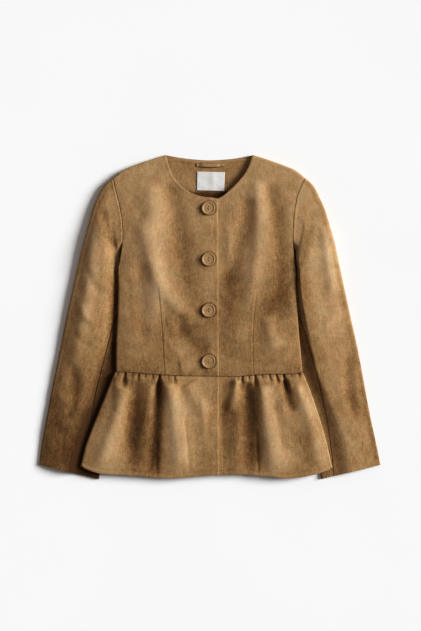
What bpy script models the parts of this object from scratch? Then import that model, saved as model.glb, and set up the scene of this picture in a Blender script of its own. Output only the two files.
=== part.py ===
"""A collarless peplum jacket in suede-like cloth, buttoned up and laid out on its back.

The jacket lies in the XY plane with its neck towards +Y and its front up (+Z). The
back rests on z = 0. "Right" and "left" are the wearer's, so the right front is at -X.
Tables are in millimetres, and every mesh is made in metres.
"""

import math

import bmesh
import bpy
import numpy as np

MM = 0.001
NAME = "peplum_jacket"
# The middle of the whole outline in the tables, which becomes x = y = 0
ORIGIN = np.array([-0.45, 1.05, 0.0])
LINE_POINTS = 161
RIGHT, LEFT = -1.0, 1.0

# Cloth and seams
WALL = 1.3
SEAM_GAP = 0.45
LAP_DROP = 1.9
LAP_EDGE = 19.0
LAP_SLOPE = 34.0
SEAM_DIP = 1.2
SEAM_DIP_WIDTH = 5.0

# Edges where the cloth turns from the front round to the back
SIDE_TURN = 4.0
SHOULDER_TURN = 4.0
SIDE_TAIL = 12.0
SHOULDER_TAIL_ARM = 10.0
SHOULDER_TAIL_NECK = 1.8
TURN_STEPS = 4
TAIL_SHARES = (0.45, 1.0)

# How the underside lifts over the sleeves, and how the body presses on them
LIFT = 6.2
LIFT_SLOPE = 26.0
LIFT_START = 4.0
LIFT_END = 16.0
PRESSED = 5.3
PRESS_SLOPE = 30.0

# Buttons
BUTTON_RADIUS = 12.9
BUTTON_THICK = 4.2
BUTTON_X = -3.0
BUTTON_TOP_Y = 206.7
BUTTON_PITCH = 96.6
BUTTON_COUNT = 4
BUTTON_STEPS = 18
HOLE_RADIUS = 1.1
HOLE_SPREAD = 2.3
HOLE_SIDES = 8

# Label and hanger loop inside the back neck
LABEL = {"x": 1.2, "y": 258.4, "width": 52.5, "height": 36.0, "thick": 1.0, "turn": -1.5}
LABEL_CREASE = {"rise": 0.7, "place": 0.08, "width": 0.12}
LOOP = {"x": 0.4, "y": 290.0, "length": 54.0, "width": 7.0, "thick": 1.3, "arch": 1.6, "sag": -1.6}
STACK_GAP = 0.4

# Mesh rows and columns
LOWER_ROWS = 2
FRONT_COLUMNS = 16
BACK_COLUMNS = 19
PEPLUM_BACK_COLUMNS = 21
PEPLUM_BACK_ROWS = 7
UPPER_COLUMNS = 11
UNDER_COLUMNS = 5
CAP_ROWS = 3
ARM_ROWS = 13
FACING_COLUMNS = 15
FACING_ROWS = 4

# Waist seam from the right side to the left: x, y
WAIST = [
    (-180.9, -103.0), (-159.6, -103.8), (-119.5, -106.6), (-86.3, -108.8), (-50.0, -110.4),
    (0.6, -111.2), (50.5, -111.4), (83.8, -109.0), (110.6, -107.6), (137.2, -107.4),
    (163.8, -106.0), (177.0, -103.4),
]

# Right front, a section from the side to the centre: side x, side y, centre x, centre y
RIGHT_FRONT = [
    (-178.2, -103.0, 16.5, -111.3),
    (-178.4, -70.0, 16.4, -75.0),
    (-177.1, -33.2, 16.2, -30.0),
    (-174.8, 14.2, 16.0, 22.0),
    (-174.0, 52.2, 15.8, 68.0),
    (-173.5, 88.9, 15.6, 112.0),
    (-169.3, 116.1, 15.5, 148.0),
    (-165.9, 139.8, 15.3, 182.0),
    (-165.1, 163.6, 15.2, 210.0),
    (-165.9, 180.0, 13.6, 224.6),
    (-168.4, 197.0, -19.2, 229.7),
    (-171.8, 214.0, -45.0, 241.0),
    (-175.6, 230.0, -64.6, 259.7),
    (-179.6, 246.0, -76.2, 282.0),
    (-184.5, 263.2, -83.8, 307.8),
]

# Left front, which runs on under the right one
LEFT_FRONT = [
    (175.8, -103.4, -22.0, -110.6),
    (172.4, -70.0, -22.2, -75.0),
    (169.1, -35.1, -22.4, -30.0),
    (165.6, 14.2, -22.6, 22.0),
    (163.4, 52.2, -22.8, 68.0),
    (162.6, 87.2, -23.0, 112.0),
    (159.2, 114.0, -23.1, 148.0),
    (157.2, 139.8, -23.2, 182.0),
    (157.0, 163.6, -23.3, 206.0),
    (158.0, 184.0, -21.0, 226.0),
    (160.2, 204.0, 14.8, 225.6),
    (163.4, 222.0, 42.0, 245.5),
    (167.8, 238.0, 62.6, 268.4),
    (173.6, 251.0, 73.4, 287.0),
    (180.5, 263.2, 80.6, 307.8),
]
# The section of both tables where the armhole starts
UNDERARM = 5

# Shoulder outlines from the arm to the neck: x, y
RIGHT_SHOULDER = [(-184.5, 264.1), (-167.2, 278.3), (-140.6, 289.8), (-112.1, 299.4), (-83.8, 308.6)]
LEFT_SHOULDER = [(180.5, 264.1), (163.4, 278.3), (144.4, 286.6), (113.0, 298.4), (80.8, 308.6)]
# Back neck edge: x, y, and how many of its points are left out where it meets a shoulder
BACK_NECK = [
    (-84.5, 302.2), (-62.0, 300.2), (-38.0, 298.6), (-1.9, 297.6), (38.0, 298.6), (60.0, 300.2),
    (81.5, 302.2),
]
NECK_ENDS = 4

# Right sleeve, a section from its outer edge to its inner one: outer x, outer y, inner x, inner y
RIGHT_SLEEVE = [
    (-185.0, 264.1, -167.8, 128.0),
    (-200.5, 251.0, -167.2, 118.0),
    (-212.0, 232.5, -166.0, 106.0),
    (-222.3, 208.0, -164.4, 91.0),
    (-231.0, 177.0, -162.8, 73.0),
    (-239.8, 145.0, -161.4, 53.0),
    (-248.5, 110.0, -160.8, 30.0),
    (-261.0, 54.0, -161.8, 0.0),
    (-273.6, -4.8, -166.0, -38.0),
    (-285.5, -65.5, -174.5, -88.0),
    (-298.3, -126.3, -186.5, -143.0),
    (-309.7, -187.1, -197.5, -200.0),
    (-319.5, -240.0, -205.5, -260.0),
    (-324.3, -279.9, -210.7, -306.5),
]
LEFT_SLEEVE = [
    (181.0, 264.1, 158.5, 128.0),
    (195.5, 250.5, 157.9, 118.0),
    (206.0, 231.0, 156.6, 106.0),
    (216.6, 208.0, 155.0, 91.0),
    (226.3, 177.0, 153.4, 73.0),
    (235.8, 145.0, 152.0, 53.0),
    (243.2, 110.0, 151.4, 30.0),
    (255.0, 54.0, 152.4, 0.0),
    (267.9, -4.8, 157.0, -38.0),
    (281.2, -65.5, 167.0, -88.0),
    (292.6, -126.3, 180.0, -143.0),
    (304.0, -187.1, 193.0, -200.0),
    (315.5, -240.0, 204.0, -260.0),
    (323.4, -279.9, 211.3, -306.5),
]
# How thick a sleeve lies: share of its length, outer edge, middle, inner edge, turn radius
SLEEVE_HEIGHTS = [
    (0.00, 10.5, 17.0, 5.3, 4.0),
    (0.12, 14.5, 19.5, 5.3, 6.0),
    (0.30, 17.0, 21.0, 6.5, 7.0),
    (0.55, 14.5, 18.0, 7.5, 6.5),
    (0.80, 11.0, 14.5, 7.5, 5.0),
    (1.00, 8.5, 11.5, 6.5, 4.0),
]
SLEEVE_CREST = 0.45
INNER_TURN = 2.7
# Where the sleeves' inner fold leaves the armhole
ARM_JOIN_Y = 128.0
# The seam on top: share of the length, share of the width
SLEEVE_SEAM = [(0.00, 0.80), (0.35, 0.73), (0.85, 0.74), (1.00, 0.80)]
SLEEVE_SEAM_HALF = 0.003
SLEEVE_SEAM_WIDEN = 1.6
CAP_END = 0.12
# The seam on the underside: share of the width
HIND_SEAM = 0.17
HIND_OUTER_SHARES = (0.5, 1.0)
HIND_INNER_SHARES = (0.17, 0.34, 0.5, 0.67, 0.84, 1.0)
# The share of the cap where it goes down under the body's edge
ARM_DIVE = (0.72, 0.96)
ARM_BLEND = 0.22
ARM_PRESS = 40.0
# How far the sections bow, at most
ROW_BOW = 11.0
BOW_PEAK = 4.0 / 27.0

# Peplum side edges from the waist to the hem: x, y
RIGHT_FLARE = [(-180.9, -104.6), (-199.1, -150.0), (-213.0, -184.3), (-233.7, -237.3), (-245.3, -282.1)]
LEFT_FLARE = [(176.8, -104.8), (188.3, -133.8), (202.2, -172.9), (218.1, -225.9), (232.0, -284.6)]
HEM = [
    (-245.3, -282.1), (-226.9, -290.3), (-203.9, -296.0), (-157.7, -298.8), (-123.5, -301.2),
    (-88.7, -304.0), (-54.1, -304.0), (-19.6, -300.8), (17.1, -298.3), (73.1, -297.6),
    (89.3, -300.2), (112.0, -301.0), (142.1, -304.8), (176.7, -301.9), (206.7, -294.9),
    (232.0, -285.8),
]
# How much shorter the peplum's back is
BACK_HEM_RISE = 3.0
# The centre edges of the peplum fronts: x at the waist, x at the hem
RIGHT_CENTRE = (16.5, 17.1)
LEFT_CENTRE = (-22.0, -22.0)
# Down the peplum, as millimetres below the waist seam
PEPLUM_ROWS = [0.0, 3.0, 8.0, 15.0, 25.0, 40.0, 60.0, 85.0, 115.0, 150.0, 190.0]
# How the gathered part spreads towards the hem: share of the waist, share of the hem
RIGHT_SPREAD = [(0.0, 0.0), (0.585, 0.70), (1.0, 1.0)]
LEFT_SPREAD = [(0.0, 0.0), (0.66, 0.72), (1.0, 1.0)]

# How high the front lies: y, at the side, in the middle
LAY = [
    (308.0, 10.0, 10.5),
    (285.0, 12.0, 13.0),
    (250.0, 14.5, 16.0),
    (200.0, 16.5, 18.5),
    (120.0, 16.0, 19.5),
    (60.0, 14.0, 19.5),
    (0.0, 13.5, 19.0),
    (-60.0, 13.5, 17.5),
    (-111.0, 13.5, 16.0),
    (-135.0, 14.0, 18.0),
    (-200.0, 13.5, 17.5),
    (-305.0, 11.0, 14.5),
]
SIDE_ROUNDING = 42.0

# Folds: from x, y through x, y to x, y, how high, half width at the start and the end
BODICE_FOLDS = [
    (-110.2, 262.0, -106.0, 140.0, -101.0, -20.0, 1.8, 15.0, 16.0),
    (-76.0, 250.0, -58.0, 150.0, -36.0, 44.0, -2.4, 15.0, 18.0),
    (-137.0, 190.0, -84.0, 60.0, -20.0, -24.0, 2.2, 13.0, 15.0),
    (-62.0, 12.0, -40.0, -42.0, 2.0, -64.0, -1.8, 10.0, 12.0),
    (-133.0, 110.0, -130.0, 20.0, -123.0, -62.0, -1.8, 11.0, 11.0),
    (-60.0, -92.0, -34.0, -88.0, -8.0, -94.0, 1.6, 12.0, 12.0),
    (95.0, 255.0, 90.0, 120.0, 70.0, -10.0, 2.4, 14.0, 14.0),
    (70.0, 222.0, 54.0, 130.0, 22.0, 36.0, -2.6, 14.0, 15.0),
    (108.0, 250.0, 134.0, 120.0, 132.0, -20.0, -2.2, 14.0, 13.0),
    (104.0, 6.0, 116.0, -36.0, 124.0, -66.0, 1.8, 11.0, 11.0),
]
PEPLUM_FOLDS = [
    (-161.5, -124.0, -179.0, -200.0, -220.0, -310.0, 3.8, 10.0, 17.0),
    (-138.7, -116.0, -143.0, -204.0, -149.0, -310.0, -3.2, 8.0, 14.0),
    (-110.2, -120.0, -122.0, -195.0, -144.0, -275.0, 3.0, 7.0, 11.0),
    (-96.9, -114.0, -104.5, -214.0, -112.1, -312.0, -4.6, 6.0, 13.0),
    (-76.0, -120.0, -58.0, -195.0, -38.0, -312.0, 3.8, 9.0, 20.0),
    (-43.7, -124.0, -26.0, -155.0, -6.0, -192.0, 2.2, 8.0, 13.0),
    (49.4, -116.0, 43.7, -147.0, 38.0, -185.0, 2.6, 7.0, 12.0),
    (70.3, -118.0, 74.1, -195.0, 77.9, -312.0, -4.8, 8.0, 19.0),
    (100.7, -124.0, 115.9, -214.0, 140.0, -312.0, 4.0, 8.0, 20.0),
    (139.6, -116.0, 146.3, -150.0, 157.0, -185.0, -3.2, 6.0, 9.0),
    (163.4, -124.0, 188.1, -189.0, 216.0, -312.0, 3.8, 8.0, 18.0),
]
SLEEVE_FOLDS = [
    (-218.5, 180.0, -230.0, 60.0, -262.0, -120.0, 2.0, 13.0, 15.0),
    (-206.0, 215.0, -192.0, 170.0, -182.0, 124.0, -2.2, 9.0, 9.0),
    (-262.0, -80.0, -256.0, -140.0, -268.0, -200.0, -1.6, 10.0, 12.0),
    (214.0, 190.0, 224.0, 110.0, 236.0, 30.0, 2.2, 13.0, 14.0),
    (196.0, 214.0, 186.0, 168.0, 178.0, 122.0, -1.8, 9.0, 9.0),
    (262.0, -60.0, 262.0, -130.0, 280.0, -200.0, -1.6, 11.0, 12.0),
]
FOLD_FADE = 0.22

# Gathers at the waist: x, how far the slit runs down, how deep, how far it leans
RIGHT_GATHERS = [
    (-174.0, 12.0, 1.6, -3.0),
    (-160.7, 26.0, 2.6, -4.0),
    (-146.5, 12.0, 1.8, -2.0),
    (-135.0, 20.0, 2.6, -2.0),
    (-122.2, 13.0, 2.0, -1.0),
    (-108.5, 15.0, 2.2, -1.0),
    (-95.6, 30.0, 3.2, -1.0),
    (-80.0, 12.0, 1.8, 1.0),
    (-68.0, 19.0, 2.2, 2.0),
]
LEFT_GATHERS = [
    (53.0, 12.0, 1.5, -1.0),
    (62.0, 22.0, 2.4, 0.0),
    (73.5, 14.0, 2.0, 0.0),
    (85.1, 24.0, 2.6, 1.0),
    (97.5, 13.0, 1.8, 1.0),
    (111.9, 20.0, 2.6, 2.0),
    (125.2, 16.0, 2.4, 2.0),
    (139.0, 40.0, 3.2, 4.0),
    (152.0, 13.0, 2.0, 3.0),
    (164.0, 16.0, 2.0, 4.0),
]
GATHER_WIDTH = 2.6
GATHER_WIDEN = 0.10
GATHER_SHOULDER = 0.3
LEAST_COLUMN = 1.5
# The swelling between the slits: how high, how fast it rises below the seam, where it ends
PUFF = {"rise": 2.6, "top": 9.0, "end": 75.0, "fade": 62.0}
# Mesh columns of the part of each peplum front that isn't gathered: x
RIGHT_PLAIN = [-58.0, -46.0, -34.0, -22.0, -10.0, 2.0, 10.0]
LEFT_PLAIN = [-14.0, -4.0, 6.0, 17.0, 28.0, 38.0, 46.0]

# Facing inside the back neck: its top and its lower edge
FACING_TOP = [
    (-88.0, 296.0), (-62.0, 297.2), (-38.0, 296.2), (-1.9, 295.4), (38.0, 296.2), (60.0, 297.2),
    (85.0, 296.0),
]
FACING_FOOT = [
    (-104.0, 262.0), (-70.0, 236.0), (-35.0, 221.0), (-1.9, 216.0), (35.0, 221.0), (68.0, 236.0),
    (101.0, 262.0),
]


def clear_scene():
    for obj in list(bpy.data.objects):
        bpy.data.objects.remove(obj, do_unlink=True)


def collection(name):
    made = bpy.data.collections.new(name)
    bpy.context.scene.collection.children.link(made)
    return made


def material(name, colour, roughness, metallic=0.0):
    made = bpy.data.materials.new(name)
    made.use_nodes = True
    shader = made.node_tree.nodes["Principled BSDF"]
    shader.inputs["Base Color"].default_value = (*colour, 1.0)
    shader.inputs["Roughness"].default_value = roughness
    shader.inputs["Metallic"].default_value = metallic
    return made


def suede():
    return material("suede_cloth", (0.33, 0.21, 0.115), 0.9)


def button_plastic():
    return material("button_plastic", (0.38, 0.25, 0.14), 0.5)


def label_cloth():
    return material("label_cloth", (0.72, 0.70, 0.67), 0.8)


def ease(t):
    """0 to 1 with soft ends."""
    t = np.clip(t, 0.0, 1.0)
    return t * t * (3.0 - 2.0 * t)


def smooth(points, steps=12):
    """A smooth curve through the points, with so many steps between each two."""
    p = np.array(points, float)
    slope = np.gradient(p, axis=0)
    t = np.linspace(0.0, 1.0, steps + 1)[:-1, None]
    spans = []
    for k in range(len(p) - 1):
        near = (2 * t**3 - 3 * t**2 + 1) * p[k] + (t**3 - 2 * t**2 + t) * slope[k]
        far = (3 * t**2 - 2 * t**3) * p[k + 1] + (t**3 - t**2) * slope[k + 1]
        spans.append(near + far)
    return np.vstack([*spans, p[-1:]])


def at_share(line, share, shares=None):
    """Points of a line at shares of its list of points, from 0 to 1, or of the shares given for them."""
    if shares is None:
        shares = np.linspace(0.0, 1.0, len(line))
    return np.stack([np.interp(share, shares, line[:, k]) for k in range(line.shape[1])], axis=-1)


def along(line, share):
    """Points of a line at shares of its length."""
    gone = np.concatenate([[0.0], np.cumsum(np.linalg.norm(np.diff(line, axis=0), axis=1))])
    return at_share(line, share, gone / gone[-1])


def even(points):
    """The smooth curve through the points, with evenly spaced points of its own."""
    return along(smooth(points), np.linspace(0.0, 1.0, LINE_POINTS))


def straight(start, end):
    return np.linspace(start, end, LINE_POINTS)


def waist_y(x):
    line = even(WAIST)
    return np.interp(x, line[:, 0], line[:, 1])


def waist_line(start_x, end_x, gap):
    """The waist seam between two x, moved up by the gap."""
    x = straight(start_x, end_x)
    return np.stack([x, waist_y(x) + gap], axis=-1)


def unit(directions):
    return directions / np.linalg.norm(directions, axis=-1)[..., None]


def across(line):
    """Unit directions square to a line, all on one side of it."""
    run = np.gradient(line, axis=0)
    return unit(np.stack([-run[:, 1], run[:, 0]], axis=-1))


def shoulder_edge(shoulder):
    """A shoulder's outline and the directions out of it."""
    ridge = even(shoulder)
    away = across(ridge)
    return ridge, away * np.sign(away[:, 1:])


def shoulder_tail(share):
    """How far the front goes back over a shoulder, at shares from the arm to the neck."""
    return SHOULDER_TAIL_ARM + (SHOULDER_TAIL_NECK - SHOULDER_TAIL_ARM) * share


def patch(foot, top, outer, inner, u, v):
    """Plan points between four edges; each edge is a line, u runs across and v along."""
    low, high = at_share(foot, u), at_share(top, u)
    left, right = at_share(outer, v), at_share(inner, v)
    u, v = u[..., None], v[..., None]
    corners = (1 - u) * ((1 - v) * foot[0] + v * top[0]) + u * ((1 - v) * foot[-1] + v * top[-1])
    return (1 - v) * low + v * high + (1 - u) * left + u * right - corners


def folds(table, x, y):
    """The height that a table of folds adds at each point."""
    total = np.zeros_like(x)
    for ax, ay, bx, by, cx, cy, rise, start_width, end_width in table:
        line = smooth([(ax, ay), (bx, by), (cx, cy)])
        away = np.hypot(x[..., None] - line[:, 0], y[..., None] - line[:, 1])
        share = away.argmin(axis=-1) / (len(line) - 1)
        width = start_width + (end_width - start_width) * share
        window = ease(share / FOLD_FADE) * ease((1.0 - share) / FOLD_FADE)
        total += rise * window * np.exp(-((away.min(axis=-1) / width) ** 2))
    return total


def gathers(x, y):
    """Slits and puffs where the peplum is gathered into the waist seam."""
    down = np.maximum(waist_y(x) - y, 0.0)
    swell = PUFF["rise"] * ease(down / PUFF["top"]) * ease((PUFF["end"] - down) / PUFF["fade"])
    total = np.zeros_like(x)
    for table in (RIGHT_GATHERS, LEFT_GATHERS):
        places = [row[0] for row in table]
        total += swell * ease((x - min(places) + 14.0) / 12.0) * ease((max(places) + 12.0 - x) / 12.0)
        for place, length, depth, lean in table:
            middle = place + lean * down / length
            width = GATHER_WIDTH + GATHER_WIDEN * down
            end = ease((down - GATHER_SHOULDER * length) / length)
            slit = ease((down + 1.5) / 4.0) * (1.0 - end)
            total -= depth * slit * np.exp(-(((x - middle) / width) ** 2))
    return total


def body_edges(y):
    """The x of the jacket's right and left outline, without the sleeves."""
    right = np.vstack([even(RIGHT_FLARE)[::-1], np.array(RIGHT_FRONT)[:, :2]])
    left = np.vstack([even(LEFT_FLARE)[::-1], np.array(LEFT_FRONT)[:, :2]])
    return np.interp(y, right[:, 1], right[:, 0]), np.interp(y, left[:, 1], left[:, 0])


def front_height(x, y):
    """How high the outer side of the front lies."""
    rows = np.array(LAY)[::-1]
    side = np.interp(y, rows[:, 0], rows[:, 1])
    middle = np.interp(y, rows[:, 0], rows[:, 2])
    right, left = body_edges(y)
    room = np.clip(np.minimum(x - right, left - x) / SIDE_ROUNDING, 0.0, 1.0)
    base = side + (middle - side) * (1.0 - (1.0 - room) ** 2)
    from_seam = y - waist_y(x)
    dip = SEAM_DIP * np.exp(-((from_seam / SEAM_DIP_WIDTH) ** 2))
    bodice = folds(BODICE_FOLDS, x, y)
    peplum = folds(PEPLUM_FOLDS, x, y) + gathers(x, y)
    return base - dip + np.where(from_seam < 0.0, peplum, bodice)


def lapped_height(x, y):
    """How high the left front lies: lower where it runs under the right one."""
    return front_height(x, y) - LAP_DROP * (1.0 - ease((x - LAP_EDGE) / LAP_SLOPE))


def back_height(x, y):
    """How high the underside lies: flat, but lifted over the sleeves' inner edges."""
    low = np.zeros_like(x)
    for table, side in ((RIGHT_SLEEVE, RIGHT), (LEFT_SLEEVE, LEFT)):
        rows = np.array(table)[::-1]
        fold = np.interp(y, rows[:, 3], rows[:, 2])
        past = side * (fold - x) - LIFT_START
        low = np.maximum(low, 1.0 - ease(past / LIFT_SLOPE))
    return LIFT * low * (1.0 - ease((y - ARM_JOIN_Y) / LIFT_END))


def with_height(plan, height):
    return np.concatenate([plan, height[..., None]], axis=-1)


def grid_object(name, points, skin, holder, keep=None, thick=WALL):
    """A wall under a grid of outer points, whose rows and columns are in millimetres."""
    rows, columns = points.shape[:2]
    mesh = bpy.data.meshes.new(name)
    form = bmesh.new()
    corner = [[form.verts.new(point) for point in row] for row in (points - ORIGIN) * MM]
    for i in range(rows - 1):
        for j in range(columns - 1):
            if keep is None or keep[i, j]:
                form.faces.new((corner[i][j], corner[i][j + 1], corner[i + 1][j + 1], corner[i + 1][j]))
    loose = [vert for vert in form.verts if not vert.link_faces]
    bmesh.ops.delete(form, geom=loose, context="VERTS")
    form.to_mesh(mesh)
    form.free()
    mesh.materials.append(skin)
    mesh.shade_smooth()
    obj = bpy.data.objects.new(name, mesh)
    holder.objects.link(obj)
    wall = obj.modifiers.new("wall", "SOLIDIFY")
    wall.thickness = thick * MM
    wall.offset = -1.0
    wall.use_quality_normals = True
    return obj


def turn_rows(edge, away, radius, low):
    """Rows that carry the edge of a top side round to the underside.

    edge holds the last points of the top side, away the directions out of them and low
    the underside's height there.
    """
    centre, half = (edge[:, 2] + low) / 2.0, (edge[:, 2] - low) / 2.0
    rows = []
    for step in range(1, TURN_STEPS + 1):
        angle = math.pi * step / TURN_STEPS
        plan = edge[:, :2] + away * (radius * math.sin(angle))[:, None]
        rows.append(with_height(plan, centre + half * math.cos(angle)))
    return rows


def turn_and_tail(edge, away, radius, low, tail):
    """The turned rows, and those that run back inwards below by the tail."""
    rows = turn_rows(edge, away, np.full(len(edge), radius), low)
    for share in TAIL_SHARES:
        rows.append(with_height(edge[:, :2] - away * (tail * share)[:, None], low))
    return rows


def side_turn(edge, side):
    """The turn round the jacket's side, at the first points of a front."""
    out = np.tile([side, 0.0], (len(edge), 1))
    low = back_height(edge[:, 0], edge[:, 1])
    return turn_and_tail(edge, out, SIDE_TURN, low, np.full(len(edge), SIDE_TAIL))


def front_panel(name, sections, shoulder, height, side, skin, holder):
    """One bodice front: its top side, the turn round its side and the turn over its shoulder."""
    table = np.array(sections)
    last = len(table) - 1
    outer, inner = table[:, :2].copy(), table[:, 2:].copy()
    outer[: UNDERARM + 1, 0] -= side * SIDE_TURN
    outer[UNDERARM + 1 :, 0] -= side * SEAM_GAP / 2
    foot = waist_line(outer[0, 0], inner[0, 0], SEAM_GAP / 2)
    ridge, away = shoulder_edge(shoulder)
    top = ridge - away * SHOULDER_TURN
    outer[0], outer[-1] = foot[0], top[0]
    inner[0], inner[-1] = foot[-1], top[-1]
    lower = np.linspace(0, UNDERARM, UNDERARM * LOWER_ROWS + 1)
    rows = np.concatenate([lower, np.arange(UNDERARM + 1, last + 1)])
    u, v = np.meshgrid(np.linspace(0.0, 1.0, FRONT_COLUMNS), rows / last)
    plan = patch(foot, top, smooth(outer), smooth(inner), u, v)
    face = with_height(plan, height(plan[..., 0], plan[..., 1]))
    wrap = side_turn(face[:, 0], side)
    body = np.concatenate([np.stack(wrap[::-1], axis=1), face], axis=1)
    out = unit(at_share(away, u[-1]))
    over = turn_and_tail(face[-1], out, SHOULDER_TURN, np.zeros(FRONT_COLUMNS), shoulder_tail(u[-1]))
    blank = np.zeros((len(over), len(wrap), 3))
    whole = np.concatenate([body, np.concatenate([blank, np.stack(over)], axis=1)], axis=0)
    keep = np.ones((len(whole) - 1, whole.shape[1] - 1), bool)
    keep[UNDERARM * LOWER_ROWS :, : len(wrap)] = False
    if side == LEFT:
        whole, keep = whole[:, ::-1], keep[:, ::-1]
    return grid_object(name, whole, skin, holder, keep)


def back_side(sections, shoulder, side):
    """The back's edge up one side, and its shoulder seam from the arm to the neck."""
    ridge, away = shoulder_edge(shoulder)
    back_by = SHOULDER_TURN + shoulder_tail(np.linspace(0.0, 1.0, LINE_POINTS)) + SEAM_GAP
    seam = ridge - away * back_by[:, None]
    outer = np.array(sections)[:, :2]
    outer[: UNDERARM + 1, 0] -= side * (SIDE_TURN + SIDE_TAIL + SEAM_GAP)
    outer[UNDERARM + 1 :, 0] -= side * SEAM_GAP / 2
    outer[UNDERARM, 1] += 3.0
    outer[-1] = seam[0]
    outer[-2] = (outer[-3] + outer[-1]) / 2
    return outer, seam


def back_panel(skin, holder):
    """The bodice back, flat on its underside, from the side seams to the shoulder seams and the neck."""
    right, right_seam = back_side(RIGHT_FRONT, RIGHT_SHOULDER, RIGHT)
    left, left_seam = back_side(LEFT_FRONT, LEFT_SHOULDER, LEFT)
    foot = waist_line(right[0, 0], left[0, 0], SEAM_GAP / 2)
    right[0], left[0] = foot[0], foot[-1]
    neck = even(BACK_NECK)[NECK_ENDS:-NECK_ENDS]
    top = along(np.vstack([right_seam, neck, left_seam[::-1]]), straight(0.0, 1.0))
    u, v = np.meshgrid(np.linspace(0.0, 1.0, BACK_COLUMNS), np.linspace(0.0, 1.0, len(right)))
    plan = patch(foot, top, smooth(right), smooth(left), u, v)
    face = with_height(plan, back_height(plan[..., 0], plan[..., 1]))
    return grid_object("bodice_back", face[:, ::-1], skin, holder)


def gather_columns(start, end, table, plain):
    """Shares across a peplum front, with four columns to each gather."""
    slits = sorted(row[0] for row in table)
    places = [start, end, *plain, slits[-1]]
    for a, b in zip(slits[:-1], slits[1:]):
        places += [a, a + (b - a) * 0.3, (a + b) / 2, b - (b - a) * 0.3]
    places = np.array(sorted(places))
    places = places[np.concatenate([[True], np.diff(places) > LEAST_COLUMN])]
    return np.sort((places - start) / (end - start))


def hem_between(start, end_x):
    """The hem from a corner of the peplum to an x."""
    hem = smooth(HEM)
    low, high = sorted([start[0], end_x])
    inside = hem[(hem[:, 0] > low) & (hem[:, 0] < high)]
    if end_x < start[0]:
        inside = inside[::-1]
    return np.vstack([start, inside, [end_x, np.interp(end_x, hem[:, 0], hem[:, 1])]])


def peplum_front(name, flare, table, plain, centre, spread, height, side, skin, holder):
    """One half of the gathered peplum, turned round its side."""
    outer = even(flare) - np.array([side * SIDE_TURN, 0.0])
    foot = waist_line(outer[0, 0], centre[0], -SEAM_GAP / 2)
    outer[0] = foot[0]
    hem = hem_between(outer[-1], centre[1])
    shares = np.array(spread)
    hem_line = along(hem, np.interp(straight(0.0, 1.0), shares[:, 0], shares[:, 1]))
    inner = straight(foot[-1], hem[-1])
    columns = gather_columns(foot[0, 0], centre[0], table, plain)
    u, v = np.meshgrid(columns, np.array(PEPLUM_ROWS) / PEPLUM_ROWS[-1])
    plan = patch(foot, hem_line, outer, inner, u, v)
    face = with_height(plan, height(plan[..., 0], plan[..., 1]))
    wrap = side_turn(face[:, 0], side)
    whole = np.concatenate([np.stack(wrap[::-1], axis=1), face], axis=1)[::-1]
    if side == LEFT:
        whole = whole[:, ::-1]
    return grid_object(name, whole, skin, holder)


def peplum_back(skin, holder):
    """The peplum's back, which lies flat between its side seams."""
    tuck = np.array([SIDE_TURN + SIDE_TAIL + SEAM_GAP, 0.0])
    right, left = even(RIGHT_FLARE) + tuck, even(LEFT_FLARE) - tuck
    foot = waist_line(right[0, 0], left[0, 0], -SEAM_GAP / 2)
    right[0], left[0] = foot[0], foot[-1]
    hem = smooth(HEM) + np.array([0.0, BACK_HEM_RISE])
    inside = hem[(hem[:, 0] > right[-1, 0]) & (hem[:, 0] < left[-1, 0])]
    right[-1, 1], left[-1, 1] = inside[0, 1], inside[-1, 1]
    hem_line = along(np.vstack([right[-1], inside, left[-1]]), straight(0.0, 1.0))
    u, v = np.meshgrid(
        np.linspace(0.0, 1.0, PEPLUM_BACK_COLUMNS), np.linspace(0.0, 1.0, PEPLUM_BACK_ROWS)
    )
    plan = patch(foot, hem_line, right, left, u, v)
    face = with_height(plan, back_height(plan[..., 0], plan[..., 1]))
    return grid_object("peplum_back", face, skin, holder)


def armhole_line(side):
    """The sleeve's edge at the armhole, from the shoulder down to where the inner fold starts."""
    front = np.array(RIGHT_FRONT if side == RIGHT else LEFT_FRONT)[UNDERARM:, :2]
    line = smooth(front[::-1]) + np.array([side * SEAM_GAP / 2, 0.0])
    return along(line[line[:, 1] > ARM_JOIN_Y], straight(0.0, 1.0))


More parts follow.
